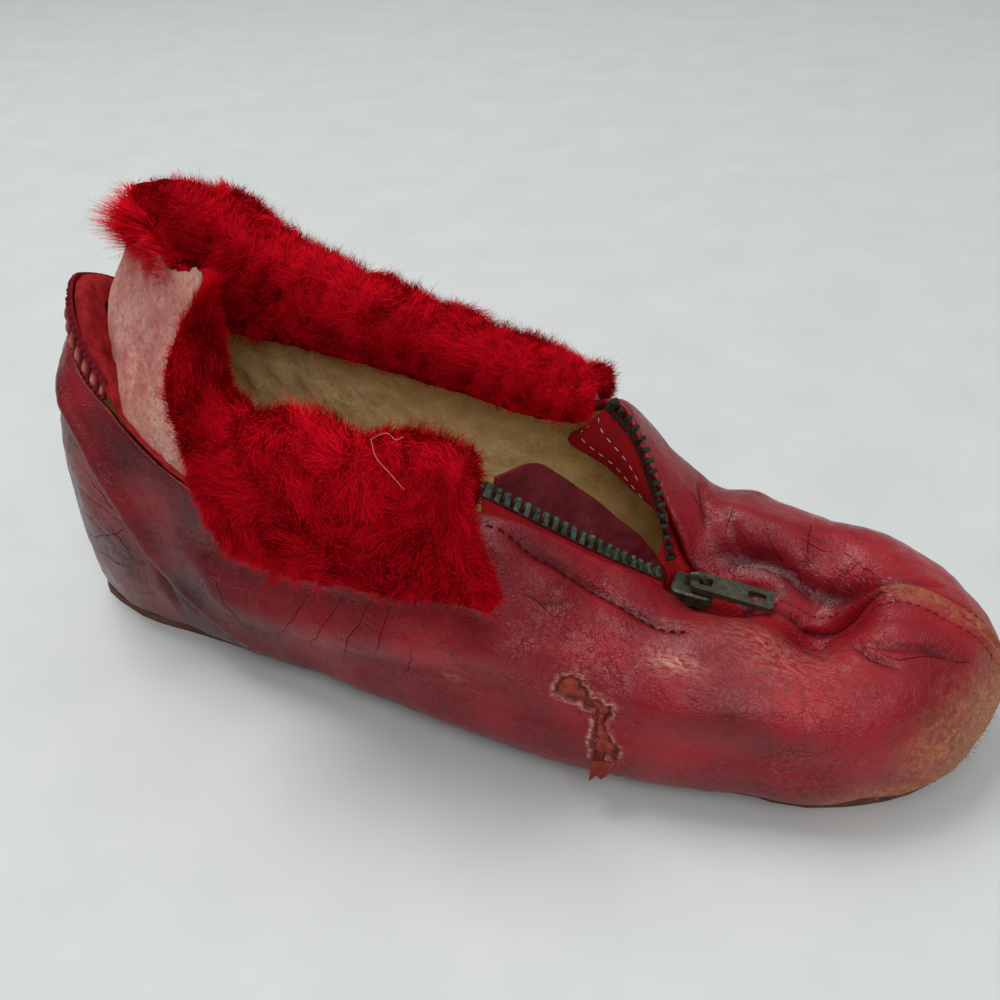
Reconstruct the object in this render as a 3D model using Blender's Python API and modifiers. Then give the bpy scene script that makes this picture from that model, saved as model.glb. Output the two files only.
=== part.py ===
"""Soft bootie slipper for the right foot, with a sheepskin cuff and a short front zip.

The toe points along +X, the medial (big toe) side is +Y, the lateral side is -Y, and the sole
stands on Z = 0.  Tables and sizes are in millimetres, with X counted from the back of the heel.
"""
import math
import random

import bmesh
import bpy
import numpy as np
from mathutils import Vector

for old in list(bpy.data.objects):
    bpy.data.objects.remove(old, do_unlink=True)

MM = 0.001
LENGTH = 252.0
ORIGIN_X = 125.0

# Sizes of the sole and the wall
SOLE_THICK = 2.6
INSOLE_THICK = 2.6
WALL = 1.8
GAP = 0.3
SOLE_LIP = 0.8
TOE_BEND = 12.0
BEND_START = 80.0
TOE_LEAN = 0.12
ARCH_LIFT = 1.2
ARCH_BACK = 72.0
ARCH_FRONT = 120.0
SPRING_START = 212.0
TOE_SPRING = 2.5

# Sizes of the zip
TOOTH_PITCH = 2.7
TOOTH_LONG = 1.5
TAPE_THICK = 0.7
SLIDER_LONG = 10.5
SLIDER_WIDE = 8.6
SLIDER_HIGH = 4.0
TAB_LONG = 19.8
TAB_WIDE = 6.5
TAB_THICK = 1.4
TAB_BACK = 0.9
SLIDER_NOSE = 0.68
EYE_LONG = 3.2
EYE_WIDE = 2.9
WINDOW_LONG = 4.3
WINDOW_WIDE = 2.9

# Ribs of the upper from the back of the heel to the toe.
# axis_x: where the rib starts from on the centre line
# turn: plan direction of the rib, 180 to the back, 90 to the side, 0 to the toe
# near, far: widest distance from the centre line on the lateral and medial side, at height wide_z
# tuck: how far the edge at the sole lies inside the widest place
# near_in, near_z and far_in, far_z: reach and height of the top edge on the two sides
# roll: how far the rib turns over at its top edge, in degrees
RIB_COLUMNS = ("axis_x", "turn", "near", "far", "wide_z", "tuck",
               "near_in", "near_z", "far_in", "far_z", "roll")
RIBS = (
    (30, 180, 30.6, 30.6, 30, 0.8, 21.5, 84, 21.5, 84, 50),
    (30, 150, 32.2, 31.4, 22, 0.4, 19.0, 83, 21.5, 83, 50),
    (30, 118, 31.0, 30.6, 29, 4.2, 20.0, 77, 23.5, 79, 50),
    (36, 92, 31.4, 30.6, 23, 5.4, 24.5, 69, 25.0, 76, 50),
    (54, 90, 33.4, 31.0, 18, 7.4, 29.5, 58, 25.5, 75, 45),
    (72, 90, 35.4, 31.6, 16, 8.6, 31.5, 54, 25.0, 74, 45),
    (105, 90, 38.2, 34.0, 15, 9.6, 31.5, 60, 24.5, 70, 50),
    (138, 90, 42.2, 40.0, 15, 10.0, 30.5, 68, 23.5, 66, 60),
    (152, 90, 43.6, 42.6, 15, 10.0, 23.0, 58, 22.0, 69, 75),
    (165, 90, 44.2, 44.0, 16, 10.0, 14.5, 47, 14.0, 55, 85),
    (178, 90, 44.0, 44.4, 16, 10.0, 6.5, 43, 6.5, 45, 90),
    (186, 90, 43.6, 44.2, 16, 10.0, 4.6, 45, 4.6, 46, 90),
    (192, 90, 42.8, 43.8, 16, 9.8, 0.0, 46, 0.0, 46, 90),
    (205, 90, 40.8, 42.8, 15, 9.0, 0.0, 44, 0.0, 44, 90),
    (205, 58, 41.8, 42.6, 14, 6.5, 0.0, 44, 0.0, 44, 90),
    (205, 29, 45.2, 44.4, 14, 5.0, 0.0, 44, 0.0, 44, 90),
    (205, 0, 47.0, 47.0, 15, 4.5, 0.0, 44, 0.0, 44, 90),
)
RIB = {name: np.array([row[k] for row in RIBS], float) for k, name in enumerate(RIB_COLUMNS)}
RIB_STEPS = (3, 3, 3, 3, 3, 4, 4, 2, 2, 2, 2, 2, 2, 3, 4, 4)
FULLNESS = 0.85
FAR_SWELL = 0.15
FAR_SWELL_RIB = 10.4
FAR_SWELL_HALF = 1.7
LOW_ROWS = 4
HIGH_ROWS = 8

# Soft hollows where the empty upper sinks: middle, half sizes and depth
HOLLOW_COLUMNS = ("x", "y", "half_x", "half_y", "depth")
HOLLOWS = (
    (188, 4.5, 15, 14, 20.5),
    (210, 3.0, 9, 16, 17),
)

# The line along which the soft side folds over the stiff heel, and the step there
COUNTER_LINE = ((-2, 78), (10, 73), (19, 66), (32, 50), (44, 27), (84, 7))
COUNTER_STEP = 1.6

# The cuff strip along the collar, from the lateral front round the heel to the medial front.
# rib: station on the rib table, negative on the lateral side
# base, mid, top, over, end: places across the strip as (out, up) from the collar edge
# ahead: how far the free edge has slumped towards the toe
# pile: depth of the wool
CUFF_COLUMNS = ("rib", "base", "mid", "top", "over", "end", "ahead", "pile")
CUFF = (
    (-6.85, (-3.4, -4), (-2.6, 4), (1.4, 9), (5.2, 4), (8.0, -15), 13, 9.0),
    (-6.3, (-3.4, -4), (-2.8, 6), (1.4, 13), (5.4, 7), (7.4, -12), 10, 11.0),
    (-5.7, (-3.4, -4), (-2.8, 9), (1.4, 18), (5.8, 11), (6.8, -8), 7, 11.0),
    (-5.2, (-3.4, -4), (-2.8, 11), (1.0, 22), (6.6, 16), (8.0, -3), 5, 9.5),
    (-4.85, (-3.4, -4), (-3.4, 14), (-3.0, 30), (3.0, 38), (10.0, 34), 5, 8.5),
    (-4.45, (-3.6, -4), (-4.6, 15), (-7.4, 31), (-10.5, 44), (-13.0, 53), 6, 7.5),
    (-3.7, (-5.0, -4), (-6.5, 13), (-9.5, 27), (-12.0, 38), (-14.0, 46), 9, 7.0),
    (-3.0, (-7.0, -4), (-8.6, 11), (-11.0, 23), (-13.0, 33), (-15.0, 41), 11, 6.5),
    (-1.8, (-9.0, -4), (-10.6, 9), (-12.5, 18), (-14.5, 26), (-16.0, 32), 11, 5.5),
    (0.0, (-9.0, -4), (-10.6, 7), (-12.5, 13), (-14.5, 19), (-16.5, 24), 10, 5.5),
    (1.6, (-6.0, -4), (-7.2, 9), (-8.0, 19), (-7.0, 27), (-4.0, 33), 8, 6.5),
    (2.8, (-3.4, -4), (-3.4, 12), (-1.5, 24), (4.0, 28), (9.0, 24), 4, 8.0),
    (4.4, (-3.4, -4), (-2.8, 7), (1.5, 14), (8.0, 11), (11.0, -4), 0, 8.5),
    (6.0, (-3.4, -4), (-2.6, 4), (1.5, 9), (8.0, 5), (12.0, -9), 0, 8.0),
    (6.8, (-3.4, -4), (-2.6, 2), (1.5, 5), (7.5, 2), (12.5, -8), 0, 7.0),
    (7.45, (-3.4, -4), (-2.6, 1), (1.0, 3.5), (6.0, 1), (13.0, -7), 0, 6.0),
)
SKIN_THICK = 1.4
CUFF_ALONG = 46
CUFF_ACROSS = 8
LOCK_LOW = 1.2
LOCK_HIGH = 3.6

# Tooth rows of the open zip from the top to the slider
ROW_COLUMNS = ("x", "y", "z")
NEAR_ROW = ((138.0, -24.5, 70.0), (147.0, -18.6, 61.5), (157.0, -11.6, 51.8), (166.0, -4.6, 42.6),
            (172.6, 0.8, 36.4))
FAR_ROW = ((151.5, 19.6, 70.5), (160.0, 15.6, 64.5), (167.5, 10.6, 51.0), (172.8, 6.4, 38.2))
FAR_TAPE_EDGE = ((146.2, 19.4, 64.0), (142.4, 21.4, 58.8), (151.8, 20.6, 52.8), (160.5, 17.6, 47.6),
                 (167.6, 14.4, 44.0), (171.5, 11.5, 38.4))
GUARD_EDGE = ((142.0, -9.0, 70.0), (151.0, -4.0, 62.0), (160.0, 0.5, 52.0), (168.0, 4.2, 41.5),
              (172.0, 4.8, 34.4))

# Slider and pull tab
SLIDER_AT = (179.0, 3.9, 31.6)
SLIDER_PITCH = 14.0
HINGE_UP = 3.6
BAIL_RADIUS = 2.1
BAIL_WIRE = 0.75
TAB_PITCH = 8.0

# Colour, roughness and metallic value of each material
LOOKS = {
    "leather": ((0.17, 0.02, 0.03, 1.0), 0.42, 0.0),
    "sole": ((0.20, 0.10, 0.05, 1.0), 0.75, 0.0),
    "pile_sock": ((0.35, 0.22, 0.11, 1.0), 0.95, 0.0),
    "binding": ((0.30, 0.03, 0.04, 1.0), 0.60, 0.0),
    "skin": ((0.55, 0.20, 0.17, 1.0), 0.90, 0.0),
    "wool": ((0.50, 0.01, 0.03, 1.0), 0.90, 0.0),
    "tape": ((0.24, 0.02, 0.03, 1.0), 0.80, 0.0),
    "old_metal": ((0.10, 0.12, 0.09, 1.0), 0.55, 0.8),
}


def eased(knots, values, at):
    """Smooth curve through a table column that never passes beyond its neighbouring values."""
    knots = np.asarray(knots, float)
    values = np.asarray(values, float)
    step = np.diff(knots)
    slope = np.diff(values) / step
    tangent = np.zeros(len(knots))
    both = slope[:-1] * slope[1:] > 0
    total = np.where(both, slope[:-1] + slope[1:], 1.0)
    tangent[1:-1] = np.where(both, 2 * slope[:-1] * slope[1:] / total, 0.0)
    tangent[0] = slope[0]
    tangent[-1] = slope[-1]
    at = np.clip(np.asarray(at, float), knots[0], knots[-1])
    cell = np.clip(np.searchsorted(knots, at, side="right") - 1, 0, len(step) - 1)
    t = (at - knots[cell]) / step[cell]
    h = step[cell]
    return ((1 + 2 * t) * (1 - t) ** 2 * values[cell] + t * (1 - t) ** 2 * h * tangent[cell]
            + t * t * (3 - 2 * t) * values[cell + 1] + t * t * (t - 1) * h * tangent[cell + 1])


def flowing(points, at):
    """Smooth line through a short list of points, with at running from 0 to 1."""
    points = np.asarray(points, float)
    size = np.r_[0, np.cumsum(np.linalg.norm(np.diff(points, axis=0), axis=1))]
    size = size / size[-1]
    return np.stack([eased(size, points[:, k], at) for k in range(points.shape[1])], axis=-1)


def bend_at(x):
    """Sideways shift of the centre line towards the medial side."""
    return TOE_BEND * (np.clip(np.asarray(x, float) - BEND_START, 0, None) / (LENGTH - BEND_START)) ** 2


def lift_at(x):
    """Height of the underside of the sole: arch at the waist and spring at the toe."""
    x = np.asarray(x, float)
    arch = ARCH_LIFT * np.sin(np.pi * np.clip((x - ARCH_BACK) / (ARCH_FRONT - ARCH_BACK), 0, 1)) ** 2
    spring = TOE_SPRING * (np.clip(x - SPRING_START, 0, None) / (LENGTH - SPRING_START)) ** 2
    return arch + spring


def rib_value(name, station):
    return eased(np.arange(len(RIBS)), RIB[name], station)


def rib_plan(station, side):
    """Start and direction of a rib in plan; side is -1 lateral, +1 medial."""
    turn = np.radians(rib_value("turn", station))
    axis_x = rib_value("axis_x", station)
    ahead = np.cos(turn)
    aside = side * np.sin(turn) + TOE_LEAN * np.clip(ahead, 0, None)
    return np.stack([axis_x, bend_at(axis_x)], -1), np.stack([ahead, aside], -1)


def plan_point(station, side, reach):
    start, way = rib_plan(station, side)
    return start + way * np.asarray(reach)[..., None]


def hollow_depth(x, y):
    depth = np.zeros(np.broadcast(x, y).shape)
    for cx, cy, half_x, half_y, deep in HOLLOWS:
        depth = depth + deep * np.exp(-((x - cx) / half_x) ** 2 - ((y - cy) / half_y) ** 2)
    return depth


def counter_push(x, z):
    """Outward step where the soft side folds over the stiff heel."""
    line = np.array(COUNTER_LINE, float)
    line_z = eased(line[:, 0], line[:, 1], x)
    above = z - line_z
    step = 1 / (1 + np.exp(-np.clip(above / 1.6, -30, 30)))
    fade = np.exp(-np.clip(above, 0, None) / 16) * np.clip((88 - x) / 20, 0, 1)
    return COUNTER_STEP * step * fade


def upper_point(station, row, side):
    """Point of the upper's outside; row is 0 at the sole, 1 at the widest, 2 at the top edge."""
    station, row = np.broadcast_arrays(np.asarray(station, float), np.asarray(row, float))
    which = "near" if side < 0 else "far"
    reach = rib_value(which, station)
    wide_z = rib_value("wide_z", station)
    tuck = rib_value("tuck", station)
    top_in = np.clip(rib_value(which + "_in", station), 0, None)
    top_z = rib_value(which + "_z", station)
    roll = np.radians(rib_value("roll", station))
    edge_z = SOLE_THICK + GAP + lift_at(plan_point(station, side, reach - tuck)[..., 0])
    low = np.clip(row, 0, 1) * np.pi / 2
    out_low = reach - tuck * (1 - np.sin(low))
    z_low = edge_z + (wide_z - edge_z) * (1 - np.cos(low))
    high = np.clip(row - 1, 0, 1) * roll
    level = np.sin(high) / np.sin(roll)
    inward = (np.cos(high) - np.cos(roll)) / (1 - np.cos(roll))
    swell = FAR_SWELL * np.exp(-((station - FAR_SWELL_RIB) / FAR_SWELL_HALF) ** 2) * (side > 0)
    out_high = top_in + (reach - top_in) * np.clip(inward, 0, 1) ** (FULLNESS - swell)
    z_high = wide_z + (top_z - wide_z) * np.clip(level, 0, 1) ** (FULLNESS - swell)
    out = np.where(row <= 1, out_low, out_high)
    z = np.where(row <= 1, z_low, z_high)
    flat = plan_point(station, side, out)
    out = out + counter_push(flat[..., 0], z)
    flat = plan_point(station, side, out)
    z = z - hollow_depth(flat[..., 0], flat[..., 1]) * np.clip((z - 20) / 16, 0, 1)
    return np.concatenate([flat, z[..., None]], -1)


def upper_normal(station, row, side):
    """Outward direction of the upper."""
    step = 0.02
    along = upper_point(station + step, row, side) - upper_point(station - step, row, side)
    up = upper_point(station, np.minimum(row + step, 2), side) - upper_point(station, row - step, side)
    normal = np.cross(along, up) * (-side)
    return normal / np.linalg.norm(normal, axis=-1)[..., None]


def stations():
    """Stations of the ribs that are drawn."""
    out = [0.0]
    for k, count in enumerate(RIB_STEPS):
        out.extend(k + (j + 1) / count for j in range(count))
    return np.array(out)


PARTS = bpy.data.collections.new("bootie_slipper")
bpy.context.scene.collection.children.link(PARTS)
FORMS = bpy.data.collections.new("forms")
bpy.context.scene.collection.children.link(FORMS)


def material(name):
    found = bpy.data.materials.get(name)
    if found:
        return found
    made = bpy.data.materials.new(name)
    made.use_nodes = True
    colour, roughness, metallic = LOOKS[name]
    shader = made.node_tree.nodes["Principled BSDF"]
    shader.inputs["Base Color"].default_value = colour
    shader.inputs["Roughness"].default_value = roughness
    shader.inputs["Metallic"].default_value = metallic
    return made


def to_world(points):
    points = np.asarray(points, float).copy()
    points[..., 0] -= ORIGIN_X
    return points * MM


def add_object(name, mesh_points, faces, look, origin=None):
    """Make one named object from points in millimetres and faces."""
    mesh = bpy.data.meshes.new(name)
    world = to_world(mesh_points)
    place = Vector((0, 0, 0)) if origin is None else Vector(to_world(np.array(origin)))
    mesh.from_pydata([tuple(Vector(p) - place) for p in world], [], faces)
    work = bmesh.new()
    work.from_mesh(mesh)
    bmesh.ops.remove_doubles(work, verts=work.verts, dist=0.00002)
    bmesh.ops.dissolve_degenerate(work, edges=work.edges, dist=0.00001)
    bmesh.ops.recalc_face_normals(work, faces=work.faces)
    work.to_mesh(mesh)
    work.free()
    mesh.materials.append(material(look))
    made = bpy.data.objects.new(name, mesh)
    made.location = place
    PARTS.objects.link(made)
    return made


def slab(name, first, second, look):
    """Closed body between two grids of points of the same shape."""
    rows, cols = first.shape[:2]
    count = rows * cols
    points = np.concatenate([first.reshape(-1, 3), second.reshape(-1, 3)])
    faces = []
    for i in range(rows - 1):
        for j in range(cols - 1):
            a = i * cols + j
            b = a + 1
            c = a + cols + 1
            d = a + cols
            faces.append((a, b, c, d))
            faces.append((a + count, d + count, c + count, b + count))
    rim = [j for j in range(cols)]
    rim += [i * cols + cols - 1 for i in range(1, rows)]
    rim += [(rows - 1) * cols + j for j in range(cols - 2, -1, -1)]
    rim += [i * cols for i in range(rows - 2, 0, -1)]
    for k, a in enumerate(rim):
        b = rim[(k + 1) % len(rim)]
        faces.append((a, a + count, b + count, b))
    return add_object(name, points, faces, look)


def grid_normals(grid):
    """Unit normals of a grid of points."""
    along = np.gradient(grid, axis=0)
    across = np.gradient(grid, axis=1)
    normal = np.cross(along, across)
    return normal / np.linalg.norm(normal, axis=-1)[..., None]


def strip(name, grid, thick, look):
    """Thin sheet of even thickness around a grid of points."""
    normal = grid_normals(grid)
    return slab(name, grid - normal * thick / 2, grid + normal * thick / 2, look)


def sole_plate(name, inset, low, thick, look):
    """Plate over the sole's outline, drawn in by inset, from height low above the sole's underside."""
    at = stations()
    inset = inset + rib_value("tuck", at)
    near = plan_point(at, -1, rib_value("near", at) - inset)
    far = plan_point(at, 1, rib_value("far", at) - inset)
    count = len(at)
    ring = np.concatenate([near, far[-2:0:-1]])
    number = len(ring)
    under = np.concatenate([ring, (lift_at(ring[:, 0]) + low)[:, None]], 1)
    over = under + np.array([0, 0, thick])
    faces = []
    for i in range(count - 1):
        a = i
        b = i + 1
        c = (number - b) % number
        d = (number - a) % number
        quad = [a, b, c, d]
        quad = [k for n, k in enumerate(quad) if k not in quad[:n]]
        faces.append(tuple(quad))
        faces.append(tuple(k + number for k in reversed(quad)))
    for k in range(number):
        following = (k + 1) % number
        faces.append((k, k + number, following + number, following))
    return add_object(name, np.concatenate([under, over]), faces, look)


def build_upper():
    at = stations()
    rows = np.r_[np.linspace(0, 1, LOW_ROWS + 1), 1 + np.linspace(0, 1, HIGH_ROWS + 1)[1:]]
    points = []
    faces = []
    for side in (-1, 1):
        grid = upper_point(at[:, None], rows[None, :], side)
        first = len(points)
        points.extend(grid.reshape(-1, 3))
        cols = len(rows)
        for i in range(len(at) - 1):
            for j in range(cols - 1):
                a = first + i * cols + j
                faces.append((a, a + 1, a + cols + 1, a + cols))
    made = add_object("upper", np.array(points), faces, "leather")
    centre = sum((f.center for f in made.data.polygons), Vector()) / len(made.data.polygons)
    outward = sum((f.center - centre).dot(f.normal) for f in made.data.polygons)
    if outward < 0:
        made.data.flip_normals()
    wall = made.modifiers.new("wall", "SOLIDIFY")
    wall.thickness = WALL * MM
    wall.offset = -1.0
    wall.use_even_offset = True
    wall.use_quality_normals = True
    return made


def collar_frame(rib):
    """Edge points and outward directions along the collar; rib is negative on the lateral side."""
    rib = np.asarray(rib, float)
    edges = []
    outs = []
    for value in rib:
        side = -1 if value < 0 else 1
        station = np.array([abs(value)])
        edges.append(upper_point(station, np.array([2.0]), side)[0])
        way = rib_plan(station, side)[1][0]
        outs.append(np.array([way[0], way[1], 0.0]) / np.linalg.norm(way))
    return np.array(edges), np.array(outs)


def cuff_grid(along, across):
    """Middle of the cuff strip, its wool side direction and the depth of the wool."""
    knots = np.array([row[0] for row in CUFF], float)
    rib = np.interp(np.linspace(0, 1, along), np.linspace(0, 1, len(knots)), knots)
    edges, outs = collar_frame(rib)
    t = np.linspace(0, 1, across)
    grid = np.zeros((along, across, 3))
    wool = np.zeros((along, across, 3))
    pile = np.zeros((along, across))
    up = np.array([0, 0, 1.0])
    for i in range(along):
        places = np.array([[eased(knots, [row[k][m] for row in CUFF], rib[i]) for m in (0, 1)]
                           for k in range(1, 6)])
        line = flowing(places, t)
        way = np.gradient(line, axis=0)
        way = way / np.linalg.norm(way, axis=1)[:, None]
        slump = eased(knots, [row[6] for row in CUFF], rib[i]) * t ** 1.3
        grid[i] = edges[i] + line[:, :1] * outs[i] + line[:, 1:] * up
        grid[i, :, 0] += slump
        wool[i] = -way[:, 1:] * outs[i] + way[:, :1] * up
        depth = eased(knots, [row[7] for row in CUFF], rib[i])
        pile[i] = depth * (0.30 + 0.70 * np.sin(np.pi * np.clip(0.08 + 0.80 * t ** 1.6, 0, 1)) ** 0.7)
    return grid, wool, pile


def build_cuff():
    grid, wool, pile = cuff_grid(CUFF_ALONG, CUFF_ACROSS)
    half = SKIN_THICK / 2
    slab("cuff_skin", grid - wool * half, grid + wool * half, "skin")
    trimmed = slice(1, None)
    low = (grid + wool * (half + GAP))[:, trimmed]
    high = (grid + wool * (half + GAP + pile[..., None]))[:, trimmed]
    made = slab("cuff_fur", low, high, "wool")
    chance = random.Random(7)
    work = bmesh.new()
    work.from_mesh(made.data)
    rows, cols = low.shape[:2]
    tops = to_world(high).reshape(-1, 3)
    keys = {tuple(np.round(p * 1e6).astype(int)) for p in tops}
    for face in list(work.faces):
        corner_keys = [tuple(np.round(np.array(v.co) * 1e6).astype(int)) for v in face.verts]
        if all(key in keys for key in corner_keys):
            height = chance.uniform(LOCK_LOW, LOCK_HIGH) * MM
            bmesh.ops.poke(work, faces=[face], offset=height, center_mode="MEAN")
    work.to_mesh(made.data)
    work.free()


def build_binding():
    """Overcast edge that stands on the collar round the back of the heel."""
    rib = np.linspace(-2.7, 1.2, 22)
    edges, outs = collar_frame(rib)
    rise = 11.0 * np.clip(np.sin(np.pi * np.linspace(0.08, 0.92, 22)), 0, 1) ** 0.6
    levels = np.linspace(0, 1, 4)
    up = np.array([0, 0, 1.0])
    inner = np.zeros((22, 4, 3))
    outer = np.zeros((22, 4, 3))
    for j, level in enumerate(levels):
        lean = -1.6 - 2.0 * level
        tall = (GAP + 0.1 + rise * level)[:, None]
        swell = 0.5 * math.sin(math.pi * min(1.0, 0.35 + 0.6 * level))
        inner[:, j] = edges + outs * (lean + 0.2) + up * tall
        outer[:, j] = edges + outs * (lean + 1.4 + swell) + up * tall
    slab("collar_binding", inner, outer, "binding")


def row_frame(row, count):
    """Points, forward, inward and upward directions along a tooth row."""
    t = np.linspace(0, 1, count)
    line = flowing(row, t)
    ahead = np.gradient(line, axis=0)
    ahead = ahead / np.linalg.norm(ahead, axis=1)[:, None]
    return line, ahead


def build_tape(name, row, side, first, last, deep):
    """Woven tape from the teeth along the inside of the upper to the row deep."""
    count = 12
    line, ahead = row_frame(row, count)
    station = np.linspace(first, last, count)
    edge = upper_point(station, 2.0, side)
    normal = upper_normal(station, 1.99, side)
    inside = edge - normal * (WALL + 1.6)
    deep_row = np.full(count, deep)
    low = upper_point(station, deep_row, side) - upper_normal(station, deep_row, side) * (WALL + 1.8)
    way = inside - line
    way = way / np.linalg.norm(way, axis=1)[:, None]
    start = line + way * 1.5
    grid = np.stack([start, (start + inside) / 2, inside, low], axis=1)
    strip(name, grid, TAPE_THICK, "tape")
    return way


def build_hanging_tape(name, row, free_edge):
    """Woven tape that hangs from the teeth to its free edge inside the shoe."""
    count = 12
    line = row_frame(row, count)[0]
    free = flowing(np.array(free_edge, float), np.linspace(0, 1, count))
    way = free - line
    way = way / np.linalg.norm(way, axis=1)[:, None]
    start = line + way * 1.5
    strip(name, np.stack([start, (start + free) / 2, free], axis=1), TAPE_THICK, "tape")
    return way


def build_teeth(name, row, way_out):
    """One row of teeth on its bead, all in one body, with a stop at the top."""
    line = np.array(row, float)
    length = np.linalg.norm(np.diff(flowing(line, np.linspace(0, 1, 60)), axis=0), axis=1).sum()
    teeth = int(length / TOOTH_PITCH)
    samples = np.linspace(0, 1, 400)
    dense = flowing(line, samples)
    size = np.r_[0, np.cumsum(np.linalg.norm(np.diff(dense, axis=0), axis=1))]
    marks = []
    for k in range(teeth):
        begin = k * TOOTH_PITCH
        marks.append((begin, True))
        marks.append((begin + (TOOTH_LONG if k else 2.2), True))
        marks.append((begin + (TOOTH_LONG if k else 2.2), False))
        marks.append((begin + TOOTH_PITCH, False))
    marks = marks[:-1]
    rings = []
    count = len(way_out)
    for place, tooth in marks:
        t = np.interp(place, size, samples)
        here = flowing(line, [t])[0]
        ahead = flowing(line, [min(t + 0.02, 1.0)])[0] - flowing(line, [max(t - 0.02, 0.0)])[0]
        ahead = ahead / np.linalg.norm(ahead)
        out = np.array([np.interp(t, np.linspace(0, 1, count), way_out[:, k]) for k in range(3)])
        inward = -(out - ahead * out.dot(ahead))
        inward = inward / np.linalg.norm(inward)
        up = np.cross(ahead, inward)
        if tooth:
            corners = ((-1.0, -1.1), (2.4, -0.9), (2.4, 0.9), (-1.0, 1.1))
        else:
            corners = ((-0.8, -0.7), (0.7, -0.7), (0.7, 0.7), (-0.8, 0.7))
        rings.append([here + inward * a + up * b for a, b in corners])
    points = np.array(rings).reshape(-1, 3)
    faces = [(3, 2, 1, 0)]
    for i in range(len(rings) - 1):
        for j in range(4):
            a = i * 4 + j
            b = i * 4 + (j + 1) % 4
            faces.append((a, b, b + 4, a + 4))
    last = (len(rings) - 1) * 4
    faces.append((last, last + 1, last + 2, last + 3))
    add_object(name, points, faces, "old_metal")


def build_guard(near_way):
    """Leather underlay that lies behind the lateral tooth row."""
    count = 12
    t = np.linspace(0, 1, count)
    row = flowing(NEAR_ROW, t)
    free = flowing(GUARD_EDGE, t)
    low = row + near_way * 3.0 + np.array([0, 0.6, -4.4])
    middle = (low + free) / 2 - np.array([0, 0, 1.6])
    grid = np.stack([low, middle, free], axis=1)
    strip("zip_guard", grid, 1.3, "leather")


def turned(points, pitch, at):
    """Tilt points nose down about the Y axis, turn them along the centre line and place them."""
    angle = math.radians(pitch)
    heading = math.atan2(2 * TOE_BEND * (at[0] - BEND_START), (LENGTH - BEND_START) ** 2)
    points = np.asarray(points, float)
    x = points[..., 0] * math.cos(angle) + points[..., 2] * math.sin(angle)
    z = -points[..., 0] * math.sin(angle) + points[..., 2] * math.cos(angle)
    y = points[..., 1]
    return np.stack([x * math.cos(heading) - y * math.sin(heading) + at[0],
                     x * math.sin(heading) + y * math.cos(heading) + at[1],
                     z + at[2]], -1)


def hinge_place():
    return turned(np.array([0.0, 0.0, HINGE_UP]), SLIDER_PITCH, SLIDER_AT)


def block(long, wide, high, nose):
    """Box from a cube, narrowed to the fraction nose at its +X end."""
    work = bmesh.new()
    bmesh.ops.create_cube(work, size=1.0)
    for vert in work.verts:
        narrow = nose if vert.co.x > 0 else 1.0
        vert.co = Vector((vert.co.x * long, vert.co.y * wide * narrow, vert.co.z * high))
    return work


def rounded(work, upright, size, steps):
    """Bevel the upright edges, or all edges, of a box."""
    edges = []
    for edge in work.edges:
        way = edge.verts[1].co - edge.verts[0].co
        if not upright or abs(way.z) > 0.9 * way.length:
            edges.append(edge)
    bmesh.ops.bevel(work, geom=edges, offset=size, segments=steps, profile=0.5, affect="EDGES")


def placed(work, name, pitch, at, origin, where):
    """Turn a body drawn in millimetres to its place on the zip and make it an object."""
    origin_world = Vector(to_world(np.array(origin)))
    for vert in work.verts:
        spot = turned(np.array(vert.co), pitch, at)
        vert.co = Vector(to_world(spot)) - origin_world
    bmesh.ops.recalc_face_normals(work, faces=work.faces)
    mesh = bpy.data.meshes.new(name)
    work.to_mesh(mesh)
    work.free()
    mesh.materials.append(material("old_metal"))
    made = bpy.data.objects.new(name, mesh)
    made.location = origin_world
    where.objects.link(made)
    return made


def combine(body, form, operation):
    """Join a form to a body or cut it out of it."""
    form.hide_render = True
    form.display_type = "WIRE"
    step = body.modifiers.new(form.name, "BOOLEAN")
    step.operation = operation
    step.solver = "EXACT"
    step.object = form


def bail_work():
    """Arched wire of the bail as a bevelled curve, turned into a body."""
    arch = [(-BAIL_RADIUS, 1.2)]
    for angle in np.linspace(0, math.pi, 9):
        arch.append((-BAIL_RADIUS * math.cos(angle), HINGE_UP + BAIL_RADIUS * math.sin(angle)))
    arch.append((BAIL_RADIUS, 1.2))
    wire = bpy.data.curves.new("bail_wire", "CURVE")
    wire.dimensions = "3D"
    wire.bevel_depth = BAIL_WIRE
    wire.bevel_resolution = 2
    wire.use_fill_caps = True
    line = wire.splines.new("POLY")
    line.points.add(len(arch) - 1)
    for point, (x, z) in zip(line.points, arch):
        point.co = (x, 0.0, z, 1.0)
    holder = bpy.data.objects.new("bail_wire", wire)
    mesh = bpy.data.meshes.new_from_object(holder)
    work = bmesh.new()
    work.from_mesh(mesh)
    bmesh.ops.remove_doubles(work, verts=work.verts, dist=0.001)
    bpy.data.meshes.remove(mesh)
    bpy.data.objects.remove(holder)
    return work


def build_slider():
    """Wedge body in one piece with the arched bail on its top."""
    work = block(SLIDER_LONG, SLIDER_WIDE, SLIDER_HIGH, SLIDER_NOSE)
    rounded(work, True, 1.6, 3)
    rounded(work, False, 0.45, 1)
    body = placed(work, "zip_slider", SLIDER_PITCH, SLIDER_AT, SLIDER_AT, PARTS)
    bail = placed(bail_work(), "bail_form", SLIDER_PITCH, SLIDER_AT, SLIDER_AT, FORMS)
    combine(body, bail, "UNION")


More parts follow.
